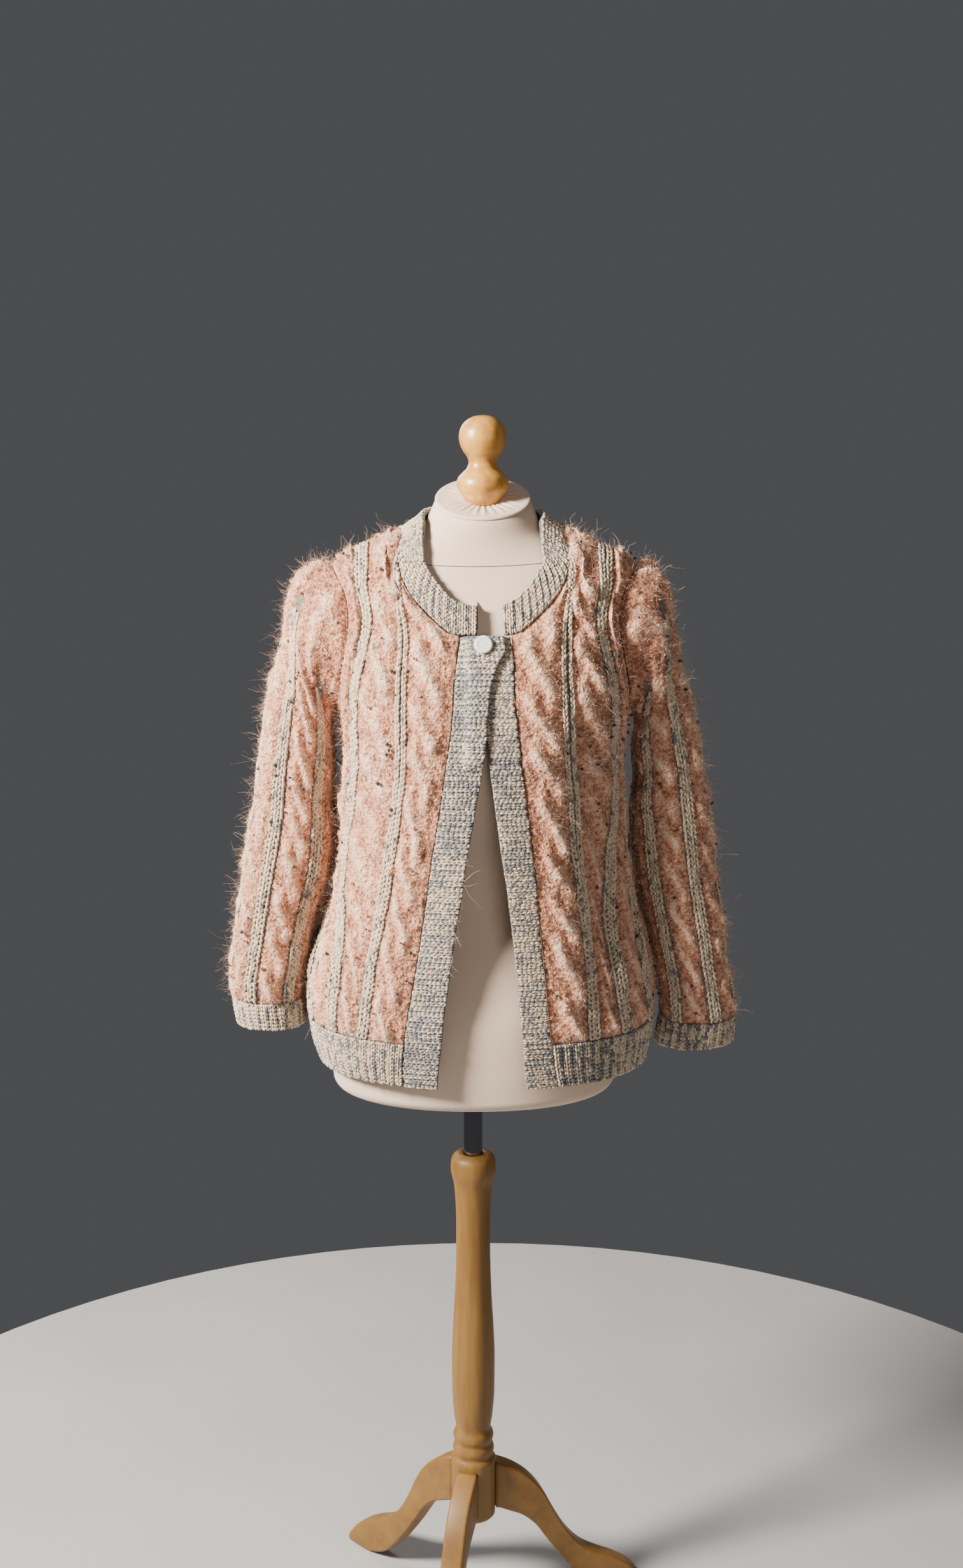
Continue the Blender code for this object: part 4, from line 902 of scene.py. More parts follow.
def sample(grid, r, c, around=False):
    """Values of a grid at fractional places, along straight lines between its points."""
    rows, columns = grid.shape[:2]
    r = np.clip(r, 0, rows - 1.0001)
    if around:
        c = np.mod(c, columns)
    else:
        c = np.clip(c, 0, columns - 1.0001)
    r0 = r.astype(int)
    c0 = c.astype(int)
    c1 = (c0 + 1) % columns if around else c0 + 1
    fr = (r - r0)[..., None]
    fc = (c - c0)[..., None]
    top = grid[r0, c0] * (1 - fc) + grid[r0, c1] * fc
    low = grid[r0 + 1, c0] * (1 - fc) + grid[r0 + 1, c1] * fc
    return top * (1 - fr) + low * fr


# Materials


def shader_of(name, colour, roughness, metallic=0.0, sheen=0.0):
    made = bpy.data.materials.new(name)
    made.use_nodes = True
    nodes = made.node_tree.nodes
    shader = nodes["Principled BSDF"]
    shader.inputs["Base Color"].default_value = (*colour, 1.0)
    shader.inputs["Roughness"].default_value = roughness
    shader.inputs["Metallic"].default_value = metallic
    if sheen:
        shader.inputs["Sheen Weight"].default_value = sheen
        shader.inputs["Sheen Roughness"].default_value = 0.5
    return made, nodes, made.node_tree.links, shader


def coat(shader, weight, roughness):
    shader.inputs["Coat Weight"].default_value = weight
    shader.inputs["Coat Roughness"].default_value = roughness


def noise_of(nodes, links, scale, detail=2.0, rough=0.5, stretch=(1, 1, 1)):
    """Strength of a noise that lies fixed in the piece."""
    place = nodes.new("ShaderNodeTexCoord")
    mapping = nodes.new("ShaderNodeMapping")
    mapping.inputs["Scale"].default_value = stretch
    links.new(place.outputs["Object"], mapping.inputs["Vector"])
    noise = nodes.new("ShaderNodeTexNoise")
    noise.inputs["Scale"].default_value = scale
    noise.inputs["Detail"].default_value = detail
    noise.inputs["Roughness"].default_value = rough
    links.new(mapping.outputs["Vector"], noise.inputs["Vector"])
    return noise.outputs["Fac"]


def ramp_of(nodes, links, source, stops):
    """Colour read from stops of a strength and a colour."""
    ramp = nodes.new("ShaderNodeValToRGB")
    elements = ramp.color_ramp.elements
    while len(elements) < len(stops):
        elements.new(0.5)
    for element, (at, colour) in zip(elements, stops):
        element.position = at
        element.color = (*colour, 1.0)
    links.new(source, ramp.inputs["Fac"])
    return ramp.outputs["Color"]


def tint(nodes, links, shader, source, *stops):
    links.new(ramp_of(nodes, links, source, stops), shader.inputs["Base Color"])


def bump(nodes, links, shader, source, strength, distance, before=None):
    """Fine relief on the surface, over an earlier one if there is one."""
    made = nodes.new("ShaderNodeBump")
    made.inputs["Strength"].default_value = strength
    made.inputs["Distance"].default_value = distance
    links.new(source, made.inputs["Height"])
    if before is not None:
        links.new(before.outputs["Normal"], made.inputs["Normal"])
    links.new(made.outputs["Normal"], shader.inputs["Normal"])
    return made


def mohair_material(name):
    """Brushed pink loops in random tones, with painted shade between the loops and in the valleys of the
    cables, painted light on the cable tops, and dark painted shade in the stripes under the chain stitches.
    """
    made, nodes, links, shader = shader_of(name, (0.75, 0.48, 0.38), 0.95, sheen=0.3)
    place = nodes.new("ShaderNodeTexCoord")
    cells = nodes.new("ShaderNodeTexVoronoi")
    cells.feature = "SMOOTH_F1"
    cells.inputs["Scale"].default_value = 330
    cells.inputs["Smoothness"].default_value = 0.6
    links.new(place.outputs["Object"], cells.inputs["Vector"])
    loops = cells.outputs["Distance"]
    wide = noise_of(nodes, links, 60, 3)
    clump = noise_of(nodes, links, 170)
    fine = noise_of(nodes, links, 520, 3, 0.65)
    # The relief attribute paints light on the cable tops and shade in the valleys and the grooves; the loop
    # cells paint shade between the loops.
    attribute = nodes.new("ShaderNodeAttribute")
    attribute.attribute_name = "rise"
    rise = attribute.outputs["Fac"]
    total = None
    for source, share in ((loops, -0.50), (wide, 0.45), (clump, 0.80), (fine, 0.45), (rise, 0.26)):
        sum_node = nodes.new("ShaderNodeMath")
        sum_node.operation = "MULTIPLY_ADD"
        sum_node.inputs[1].default_value = share
        links.new(source, sum_node.inputs[0])
        if total is None:
            sum_node.inputs[2].default_value = -0.32
        else:
            links.new(total, sum_node.inputs[2])
        total = sum_node.outputs[0]
    stops = (
        (0.10, (0.240, 0.082, 0.040)),
        (0.28, (0.540, 0.215, 0.115)),
        (0.45, (0.830, 0.410, 0.250)),
        (0.62, (0.950, 0.610, 0.430)),
        (0.85, (0.985, 0.830, 0.680)),
    )
    brushed = ramp_of(nodes, links, total, stops)
    # Dark painted shade, used where the relief attribute holds the groove mark under the chain stitches.
    ground = ramp_of(nodes, links, fine, ((0.40, (0.100, 0.078, 0.060)), (0.62, (0.380, 0.310, 0.240))))
    under = nodes.new("ShaderNodeMapRange")
    for socket, value in (("From Min", -0.9), ("From Max", -0.1), ("To Min", 1.0), ("To Max", 0.0)):
        under.inputs[socket].default_value = value
    links.new(rise, under.inputs["Value"])
    both = nodes.new("ShaderNodeMix")
    both.data_type = "RGBA"
    links.new(under.outputs["Result"], both.inputs["Factor"])
    links.new(brushed, both.inputs[6])
    links.new(ground, both.inputs[7])
    links.new(both.outputs[2], shader.inputs["Base Color"])
    first = bump(nodes, links, shader, loops, 0.85, 0.0022)
    first.invert = True
    second = bump(nodes, links, shader, clump, 0.9, 0.0060, first)
    bump(nodes, links, shader, fine, 0.8, 0.0022, second)
    return made


def yarn_material(name, light, dark):
    """One shade of the marl, with its plies."""
    made, nodes, links, shader = shader_of(name, light, 0.88, sheen=0.2)
    tint(nodes, links, shader, noise_of(nodes, links, 620, 2, 0.6), (0.41, dark), (0.53, light))
    bump(nodes, links, shader, noise_of(nodes, links, 1900, 1), 0.6, 0.0005)
    return made


def hair_material(name, colour, dark):
    made, nodes, links, shader = shader_of(name, colour, 0.7, sheen=0.2)
    tint(nodes, links, shader, noise_of(nodes, links, 170), (0.38, dark), (0.60, colour))
    return made


def jersey_material(name):
    made, nodes, links, shader = shader_of(name, (0.70, 0.60, 0.52), 0.82, sheen=0.15)
    wide = noise_of(nodes, links, 9)
    tint(nodes, links, shader, wide, (0.3, (0.740, 0.560, 0.425)), (0.7, (0.820, 0.640, 0.500)))
    bump(nodes, links, shader, noise_of(nodes, links, 1500, 1, 0.5, (1, 1, 0.35)), 0.25, 0.0005)
    return made


def wood_material(name, roughness, coat_weight, stretch=(1, 1, 0.08), tone=1.0):
    """Varnished beech with its grain, darker by its tone."""
    made, nodes, links, shader = shader_of(name, (0.52, 0.27, 0.11), roughness)
    coat(shader, coat_weight, 0.25)
    grain = noise_of(nodes, links, 60, 6, 0.65, stretch)
    shades = ((0.30, (0.43, 0.185, 0.032)), (0.50, (0.63, 0.31, 0.060)), (0.70, (0.75, 0.41, 0.095)))
    stops = [(at, tuple(value * tone for value in colour)) for at, colour in shades]
    tint(nodes, links, shader, grain, *stops)
    bump(nodes, links, shader, grain, 0.12, 0.0004)
    return made


PINK = mohair_material("pink_mohair")
# Dark painted shade for the shells under the marl stitches, so the gaps between the stitches look shaded
MARL_GAP_SHADE = yarn_material("marl_painted_shade", (0.16, 0.14, 0.12), (0.05, 0.045, 0.04))
SHADES = [
    yarn_material("marl_cream", (0.85, 0.685, 0.51), (0.40, 0.305, 0.21)),
    yarn_material("marl_pale", (0.71, 0.58, 0.44), (0.18, 0.150, 0.12)),
    yarn_material("marl_grey", (0.39, 0.345, 0.295), (0.090, 0.082, 0.074)),
    yarn_material("marl_blue", (0.255, 0.265, 0.285), (0.055, 0.056, 0.062)),
]
FLECK_SHADES = [
    hair_material("fleck_dark", (0.035, 0.030, 0.030), (0.015, 0.012, 0.012)),
    hair_material("fleck_red", (0.30, 0.045, 0.040), (0.14, 0.02, 0.02)),
    hair_material("fleck_ochre", (0.55, 0.33, 0.07), (0.35, 0.18, 0.03)),
]


# Mesh helpers


def mesh_object(name, points, faces, materials, indices=None, is_smooth=True):
    mesh = bpy.data.meshes.new(name)
    points = np.asarray(points, float) + PLACE
    if isinstance(faces, np.ndarray):
        mesh.vertices.add(len(points))
        mesh.vertices.foreach_set("co", points.astype(np.float32).ravel())
        mesh.loops.add(faces.size)
        mesh.loops.foreach_set("vertex_index", faces.astype(np.int32).ravel())
        mesh.polygons.add(len(faces))
        mesh.polygons.foreach_set("loop_start", np.arange(0, faces.size, faces.shape[1], dtype=np.int32))
    else:
        mesh.from_pydata([tuple(p) for p in points], [], [tuple(int(i) for i in face) for face in faces])
    for made in materials:
        mesh.materials.append(made)
    if indices is not None:
        mesh.polygons.foreach_set("material_index", np.asarray(indices, np.int32))
    mesh.update(calc_edges=True)
    mesh.polygons.foreach_set("use_smooth", np.full(len(mesh.polygons), is_smooth))
    mesh.validate()
    obj = bpy.data.objects.new(name, mesh)
    bpy.context.scene.collection.objects.link(obj)
    return obj


def joined(parts):
    """Points and faces of several meshes as one."""
    counts = [len(part[0]) for part in parts]
    faces = [part[1] + start for part, start in zip(parts, np.cumsum([0] + counts))]
    return np.concatenate([part[0] for part in parts]), np.concatenate(faces)


def turn_outward(obj):
    work = bmesh.new()
    work.from_mesh(obj.data)
    bmesh.ops.recalc_face_normals(work, faces=work.faces)
    work.to_mesh(obj.data)
    work.free()


def worn(obj):
    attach(obj, "dress_form")


def cloth_shell(node, outer, inner, made, around=False, skip=5, rise=None):
    """A thin shell from a fine outer skin, shown in place of its node, which is hidden."""
    count = outer.shape[1]
    columns = list(range(0, count, 3)) if around else inner_lines(count - 1, skip)
    points, faces = wall(outer, inner, inner_lines(len(outer) - 1, skip), columns, around)
    obj = mesh_object(node + "_cloth", points, faces, [made])
    if rise is not None:
        # The point attribute rise carries the relief to the pink material, which paints light and shade from
        # it; the groove mark gives the stripes under the chain stitches a dark painted shade.
        depth = np.zeros(len(points), np.float32)
        depth[: rise.size] = np.where(rise < 0, GROOVE_SHADE_MARK, rise / CABLE_RISE).ravel()
        obj.data.attributes.new("rise", "FLOAT", "POINT").data.foreach_set("value", depth)
    turn_outward(obj)
    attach(obj, "dress_form")
    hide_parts(node)


# Knitting

CHAIN_GAP = 0.0049
CHAIN_HALF = 0.0037
SLEEVE_CHAIN_HALF = 0.0036
CHAIN_YARN = 0.0016
CHAIN_LIFT = 0.0009
CHAIN_STRIPE = 0.0095
ROPE_SWING = 0.55
ROPE_WIDTH = 0.42
PLY_PITCH = 0.0095
RIB_LIFT = 0.0001
HEM_WALE = 0.0058
GROOVE = -0.0006
# Attribute value that paints dark shade in the stripes under the chain stitches
GROOVE_SHADE_MARK = -1.2
FRONT_CHAIN_END = 0.57
BACK_CHAIN_END = 0.58

# Across and along each leg of a stitch, in half widths and courses, and its lift and thickness there
LEG_PATH = ((0.12, -0.12), (0.46, 0.34), (0.80, 0.82), (0.74, 1.30))
LEG_LIFT = np.array([0.0, 0.95, 1.0, 0.05])[None, :, None]
LEG_THICK = np.array([0.55, 1.0, 1.0, 0.55])[None, :, None]


def lay_wales(
    grid,
    normals,
    places,
    half,
    pitch,
    radius,
    lift,
    around=False,
    start=0.0,
    end=1.0,
    tones=(0.0,),
    loose=0.0,
):
    """Knit stitches up the rows of a grid: two legs for each, as short arched yarns."""
    rows = len(grid)
    index = np.arange(rows, dtype=float)
    everything = []
    tone = []
    for number, place in enumerate(places):
        line = np.zeros(rows) + place
        length = run_of(sample(grid, index, line, around))
        beside = sample(grid, index, line + 0.5, around) - sample(grid, index, line - 0.5, around)
        spacing = np.maximum(np.linalg.norm(beside, axis=1), 1e-5)
        if not around:
            reach = np.minimum(line + 0.5, grid.shape[1] - 1) - np.maximum(line - 0.5, 0.0)
            spacing = spacing / np.maximum(reach, 0.25)
        total = length[-1]
        courses = max(2, int(round((end - start) * total / pitch)))
        real = (end - start) * total / courses
        base = start * total + (np.arange(courses) + 0.02) * real
        base = base + (rng.normal(0, 0.04, courses) + rng.uniform(-loose, loose)) * real
        for hand in (-1, 1):
            steps = []
            drift = rng.normal(0, 0.05, courses)
            for over, up in LEG_PATH:
                at = np.clip(base + up * real, 0.0003, total - 0.0003)
                r = np.interp(at, length, index)
                c = np.interp(r, index, line) + (hand * over + drift) * half / np.interp(r, index, spacing)
                steps.append((r, c))
            everything.append(np.array(steps))
            tone.append(np.full(courses, tones[number % len(tones)]))
    legs = np.concatenate([leg.transpose(2, 0, 1) for leg in everything])
    r = legs[:, :, 0]
    c = legs[:, :, 1]
    normal = unit(sample(normals, r, c, around))
    radius = radius * rng.uniform(0.86, 1.14, (len(legs), 1, 1))
    points = sample(grid, r, c, around) + normal * (lift + LEG_LIFT * radius)
    along = unit(np.gradient(points, axis=1))
    thick = LEG_THICK * radius
    flank = unit(np.cross(normal, along)) * thick
    crown = normal * thick * 0.62
    sunk = normal * thick * 0.55
    corners = [points + flank - sunk, points + flank * 0.62 + crown]
    corners += [points - flank * 0.62 + crown, points - flank - sunk]
    ring = np.arange(3)[None, :, None, None] * 4
    first = np.arange(len(legs))[:, None, None, None] * 16 + ring + np.arange(3)[None, None, :, None]
    quads = np.concatenate([first, first + 1, first + 5, first + 4], axis=3)
    return np.stack(corners, axis=2).reshape(-1, 3), quads.reshape(-1, 4), points[:, 1], np.concatenate(tone)


def shade_of(middle, tone, seed, blue):
    """Which marl shade each leg has: short runs of a like shade with odd legs between."""
    pick = np.random.default_rng(seed)
    run = lattice(middle, 0.013, seed) * 0.55 + lattice(middle, 0.045, seed + 1) * 0.35 + blue + tone
    value = run + pick.normal(0, 0.60, len(middle))
    return np.select([value < 0.10, value < 0.60, value < 1.10], [0, 1, 2], 3)


def stitches(name, parts, seed, blue=-0.32):
    middle = np.concatenate([part[2] for part in parts])
    tone = np.concatenate([part[3] for part in parts])
    obj = mesh_object(name, *joined(parts), SHADES, np.repeat(shade_of(middle, tone, seed, blue), 9))
    worn(obj)
    return obj


# Fibres

NAP_PER_AREA = 80000
LONG_PER_AREA = 26000
LOOPS_PER_AREA = 12500
FLECKS_PER_AREA = 640
NAP_LENGTH = 0.0074
NAP_WIDTH = 0.00034
LONG_LENGTH = 0.018
LONG_WIDTH = 0.00014
LOOP_RADIUS = 0.0019
LOOP_WIDTH = 0.0007
LOOP_STEPS = 5
FLECK_SIZE = 0.0027
FIBRE = {"nap": [], "long": [], "curl": []}
SPECKS = []


def scatter(grid, normals, count, around=False, weight=None):
    """Random points of a grid in proportion to its area, and their normals."""
    if around:
        across = (np.roll(grid, -1, axis=1) - grid)[:-1]
        down = np.diff(grid, axis=0)
    else:
        across = np.diff(grid, axis=1)[:-1]
        down = np.diff(grid, axis=0)[:, :-1]
    area = np.linalg.norm(np.cross(across, down), axis=2)
    if weight is not None:
        area = area * weight[: area.shape[0], : area.shape[1]]
    share = np.cumsum(area.ravel())
    picked = np.searchsorted(share, rng.uniform(0, share[-1], count))
    r = picked // area.shape[1] + rng.uniform(0, 1, count)
    c = picked % area.shape[1] + rng.uniform(0, 1, count)
    return sample(grid, r, c, around), sample(normals, r, c, around)


def any_side(way):
    """A random direction square to each given one."""
    return unit(np.cross(way, rng.normal(0, 1, way.shape)))


def nap(grid, normals, count, around, weight):
    """Short fibres, each one thin triangle."""
    root, normal = scatter(grid, normals, count, around, weight)
    way = unit(normal + rng.normal(0, 0.9, (count, 3)))
    inside = np.sum(way * normal, axis=1, keepdims=True)
    way = np.where(inside < 0.1, way + normal * (0.35 - inside), way)
    tip = way * (rng.uniform(0.45, 1.0, (count, 1)) * NAP_LENGTH)
    half = any_side(way) * NAP_WIDTH / 2
    root = root - normal * 0.0006
    points = np.stack([root - half, root + half, root + tip], axis=1)
    return points.reshape(-1, 3), np.arange(count * 3).reshape(-1, 3)


def ribbons(pairs, count):
    """Points and quads of flat ribbons from their paired edge points."""
    size = len(pairs)
    base = np.arange(count)[:, None] * size
    quads = [base + np.array([k, k + 1, k + 3, k + 2]) for k in range(0, size - 2, 2)]
    return np.stack(pairs, axis=1).reshape(-1, 3), np.concatenate(quads)


def long_fibres(grid, normals, count, longest, width, around=False, weight=None):
    """Long curved fibres, each a flat ribbon."""
    root, normal = scatter(grid, normals, count, around, weight)
    way = unit(normal + rng.normal(0, 0.65, (count, 3)))
    way = way + normal * np.maximum(0.15 - np.sum(way * normal, axis=1, keepdims=True), 0)
    bend = rng.normal(0, 0.85, (count, 3))
    length = longest * rng.beta(1.6, 3.0, (count, 1)) + 0.003
    side = any_side(way)
    sway = np.cross(way, rng.normal(0, 1, (count, 3))) * 0.16
    ends = []
    for t, thick in ((0.0, 1.0), (0.33, 0.95), (0.67, 0.8), (1.0, 0.4)):
        place = root + way * length * t + bend * length * t * t * 0.6
        place = place + sway * length * math.sin(2 * math.pi * t)
        half = side * width * thick / 2
        ends += [place - half, place + half]
    return ribbons(ends, count)


def curls(grid, normals, count, around, weight):
    """Small loops of yarn that stand out of the cloth."""
    root, normal = scatter(grid, normals, count, around, weight)
    tilt = unit(normal + rng.normal(0, 0.45, (count, 3)))
    one = any_side(tilt)
    two = np.cross(tilt, one)
    size = LOOP_RADIUS * rng.uniform(0.6, 1.15, (count, 1))
    rings = []
    for k in range(LOOP_STEPS):
        a = 2 * math.pi * k / (LOOP_STEPS - 0.8)
        centre = root + normal * (0.0012 + 0.0006 * math.sin(a))
        out = one * math.cos(a) + two * math.sin(a) * 0.85
        rings.append(centre + out * (size - LOOP_WIDTH / 2))
        rings.append(centre + out * (size + LOOP_WIDTH / 2) + tilt * LOOP_WIDTH * 0.5)
    return ribbons(rings, count)


def specks(grid, normals, count, around):
    """Tiny knots of other coloured fibre, and which colour each face has."""
    root, normal = scatter(grid, normals, count, around)
    root = root + normal * 0.0034
    shape = np.array([(1, 0, 0), (-1, 0, 0), (0, 1, 0), (0, -1, 0), (0, 0, 1), (0, 0, -1)], float)
    scale = FLECK_SIZE * rng.uniform(0.5, 1.1, (count, 1, 1)) * rng.uniform(0.6, 1.3, (count, 6, 1))
    points = (root[:, None] + shape[None] * scale).reshape(-1, 3)
    upper = [(0, 2, 4), (2, 1, 4), (1, 3, 4), (3, 0, 4)]
    lower = [(2, 0, 5), (1, 2, 5), (3, 1, 5), (0, 3, 5)]
    faces = (np.arange(count)[:, None, None] * 6 + np.array(upper + lower)[None]).reshape(-1, 3)
    return points, faces, np.repeat(rng.choice(3, count, p=(0.66, 0.17, 0.17)), 8)


def add_fibres(grid, normals, around, weight, area):
    """Nap, long fibres, loops and flecks for an area of pink cloth in square metres."""
    FIBRE["nap"].append(nap(grid, normals, int(area * NAP_PER_AREA), around, weight))
    many = int(area * LONG_PER_AREA)
    FIBRE["long"].append(long_fibres(grid, normals, many, LONG_LENGTH, LONG_WIDTH, around, weight))
    FIBRE["curl"].append(curls(grid, normals, int(area * LOOPS_PER_AREA), around, weight))
    SPECKS.append(specks(grid, normals, int(area * FLECKS_PER_AREA), around))


CABLE_MARGIN = 0.0100

# A cable's unevenness along its length: how much, and how fast it comes and goes
TURN_SWAY = 0.10
SWAY_RATE = 34
SLOW_SWELL = 0.16
SLOW_RATE = 57
QUICK_SWELL = 0.10
QUICK_RATE = 131


def cable_relief(phase, along, hand, repeat, has_chain):
    """Relief of the cloth: rope cables between flat stripes under the chain stitches."""
    number = np.floor(phase)
    share = phase - number
    near = np.minimum(share, 1 - share) * repeat
    across = (share - 0.5) / np.maximum(0.5 - CABLE_MARGIN / repeat, 0.2)
    turn = along / CABLE_PITCH + TURN_SWAY * np.sin(along * SWAY_RATE + number * 2.3)
    part = turn - np.floor(turn)
    over = hand * ROPE_SWING * np.cos(math.pi * part)
    top = np.exp(-(((across - over) / ROPE_WIDTH) ** 2))
    under = np.exp(-(((across + over) / ROPE_WIDTH) ** 2)) * (0.66 - 0.46 * np.sin(math.pi * part))
    ply = 0.5 + 0.5 * np.cos(2 * math.pi * (along / PLY_PITCH + hand * across * 1.1))
    height = np.maximum(top, under) * (1 - np.minimum(np.abs(across), 1) ** 6)
    uneven = 1 + SLOW_SWELL * np.sin(along * SLOW_RATE + number * 1.9)
    uneven = uneven + QUICK_SWELL * np.sin(along * QUICK_RATE + number)
    rope = 1.25 * CABLE_RISE * uneven * height * (0.93 + 0.12 * ply)
    return np.where((near < CHAIN_STRIPE) & has_chain, GROOVE, rope)


# Cloth pieces


def repeat_width(grid, phase, around=False):
    """Metres of cloth across for each repeat of the pattern, at every point."""
    if around:
        step = np.linalg.norm(np.roll(grid, -1, axis=1) - grid, axis=2)
        return np.clip(step.mean(axis=1, keepdims=True) * FINE * SLEEVE_AROUND / 6.0, 0.03, 0.1)
    step = np.linalg.norm(np.gradient(grid, axis=1), axis=2)
    change = np.abs(np.gradient(phase, axis=1))
    return np.clip(step / np.maximum(change, 1e-4), 0.026, 0.1)


# width of the lumps of brushed cloth, their height, seed of their noise
LUMPS = ((0.0120, 0.0016, 11), (0.0058, 0.0009, 12), (0.034, 0.0014, 13))
CLOTH_PUFF = 0.0008
EDGE_STEPS = 5


def rough_cloth(points, normals, rise, edge):
    """The relief with the unevenness of brushed loops, fading out at the edges."""
    lumps = sum(lattice(points, width, seed) * height for width, height, seed in LUMPS)
    return points + normals * (rise + (lumps + CLOTH_PUFF) * edge)[..., None]


def edge_fade(rows, columns, around=False):
    r = np.arange(rows)[:, None]
    c = np.arange(columns)[None, :]
    near = np.minimum(r, rows - 1 - r) + 0 * c
    if not around:
        near = np.minimum(near, np.minimum(c, columns - 1 - c))
    return smooth(near / EDGE_STEPS)


def press_folds(base, table, is_front, side=0):
    """Press the soft folds into the lines inside a panel."""
    for index in np.ndindex(base.shape[:2]):
        x, _, z = base[index]
        if 0 < index[1] < base.shape[1] - 1:
            hand = side or (1 if x > 0 else -1)
            away = hollow(table, hand, length_at(x, z, is_front), z) * min(1.0, (z - HEM_TOP) / FOLD_FADE)
            base[index] = base[index] - shell_normal(base[index]) * away


def point_along(edge, along, stop):
    return np.array([np.interp(stop, along, edge[:, k]) for k in range(3)])


def front_grid(side):
    """Base points of a front with its folds, and the share and length at each."""
    count = len(FRONT_PHASES)
    base = np.zeros((BODY_ROWS + 1, count + 1, 3))
    lengths = np.zeros(base.shape[:2])
    edge, along, neck = top_edge(side, True)
    stops = (0, 0.66 * neck, neck, *shoulder_stops(neck, along[-1]))
    path = None
    for c, phase in enumerate(FRONT_PHASES):
        end = point_along(edge, along, np.interp(phase, (0, 1, 1.5, 2, 3, 4), stops))
        path = trace(lambda z: front_place(side, phase, z), True, side, end, LINE_ROOM * (count - c), path)
        base[:, c], lengths[:, c] = spread(path, BODY_ROWS)
    base[:, -1], lengths[:, -1] = armhole_line(True, side)
    press_folds(base, FOLDS, True, side)
    return base, np.broadcast_to(np.array(FRONT_PHASES + (3.5,)), base.shape[:2]), lengths


def back_grid():
    base = np.zeros((BODY_ROWS + 1, 2 * BACK_HALF + 1, 3))
    lengths = np.zeros(base.shape[:2])
    for side in (-1, 1):
        edge, along, neck = top_edge(side, False)
        for k, share in enumerate(np.linspace(0, 1, BACK_HALF + 1)[:-1]):
            end = point_along(edge, along, np.interp(share, (0, 0.55, 1), (0, neck, along[-1])))
            path = trace(lambda z: back_place(share, z), False, side, end, LINE_ROOM * (BACK_HALF - k))
            base[:, BACK_HALF + side * k], lengths[:, BACK_HALF + side * k] = spread(path, BODY_ROWS)
        last = BACK_HALF + side * BACK_HALF
        base[:, last], lengths[:, last] = armhole_line(False, side)
    press_folds(base, BACK_FOLDS, False)
    phases = np.abs(np.arange(2 * BACK_HALF + 1) - BACK_HALF) / 3.0 + 0.5
    return base, np.broadcast_to(phases, base.shape[:2]), lengths


def sleeve_grid(side, table, outer_loop):
    near_seam = (0.0, 0.012, 0.035, 0.07, 0.11, 0.15)
    shares = np.concatenate([near_seam, np.linspace(PULL_END, 1.0, SLEEVE_ROWS - 5)])
    rings = [sleeve_ring([float(column(table, k, t)) for k in range(1, 7)], side) for t in shares]
    pulls = (1 - np.minimum(1.0, shares / PULL_END)) ** 2
    grid = np.array([ring + (outer_loop - rings[0]) * pull for ring, pull in zip(rings, pulls)])
    grid[0] = outer_loop + away_from_body(outer_loop, side) * EDGE_SEAM
    normals = grid_normals(grid, side)
    base = grid.copy()
    for index in np.ndindex(grid.shape[:2]):
        depth = 0.0
        for fold_side, place, turn, half_length, half_width, fall in SLEEVE_FOLDS:
            if fold_side == side:
                apart = abs(index[1] - turn)
                apart = min(apart, SLEEVE_AROUND - apart)
                along = (shares[index[0]] - place) / half_length
                depth += fall * math.exp(-(along**2) - (apart / half_width) ** 2)
        base[index] = grid[index] - normals[index] * depth
    return base, run_of(grid[:, 0])


def fine_panel(base, phases, lengths, factor):
    """Fine grid of a body panel, the pattern's share and length at each point, and the normals."""
    grid = refine(base, factor, factor)
    phase = refine(np.array(phases)[..., None], factor, factor)[..., 0]
    length = refine(lengths[..., None], factor, factor)[..., 0]
    return grid, phase, length, outward(grid)


FRONT_STITCH = 0.0066
BACK_STITCH = 0.0068
SLEEVE_STITCH = 0.0070
CHAIN_NAP = 0.12


def chain_lines(outer, normals, lines, pitch):
    """A pair of knit chains along each line of a body panel, up to a share of its height."""
    row = len(outer) // 3
    parts = []
    for line, end in lines:
        gap = CHAIN_GAP / (np.linalg.norm(outer[row, int(line) + 1] - outer[row, int(line) - 1]) / 2)
        pair = (line - gap, line + gap)
        parts.append(lay_wales(outer, normals, pair, CHAIN_HALF, pitch, CHAIN_YARN, CHAIN_LIFT, end=end))
    return parts


def pink_piece(node, outer, inner, normals, parts, rise, around=False, face=1.0):
    """Cloth, chains and fibres of one pink piece. face is the share of fibres at each place."""
    filled, area = FILLED[node]
    chain = stitches(node + "_chains", parts, SEEDS[node])
    cloth_shell(node, outer, inner, PINK, around, rise=rise)
    few_on_chains = np.where(rise < 0, CHAIN_NAP, 1.0)
    add_fibres(outer, normals, around, few_on_chains * face, area)


def front_cloth(side, name):
    base, phases, lengths = front_grid(side)
    grid, phase, length, normals = fine_panel(base, phases, lengths, FINE)
    rows, columns = grid.shape[:2]
    low = np.arange(rows)[:, None] < FRONT_CHAIN_END * rows
    has_chain = (phase > 0.5) & ((phase < 2.5) | low) & (phase < 3.5)
    rise = cable_relief(phase, length, side, repeat_width(grid, phase), has_chain)
    edge = edge_fade(rows, columns)
    over = smooth((np.arange(rows) - SIDE_ROWS * FINE) / (2 * FINE))[:, None]
    beside = smooth((columns - 1 - np.arange(columns)) / (1.6 * FINE))[None, :]
    arm = 1 - over * (1 - beside)
    outer = rough_cloth(grid + normals * WALL, normals, rise * edge * arm, edge)
    lines = []
    for place, end in ((1, 1.0), (2, 1.0), (3, FRONT_CHAIN_END)):
        lines.append((int(np.argmin(np.abs(np.array(FRONT_PHASES) - place))) * FINE, end))
    parts = chain_lines(outer, normals, lines, FRONT_STITCH)
    pink_piece(name, outer, grid, normals, parts, rise)
    return base


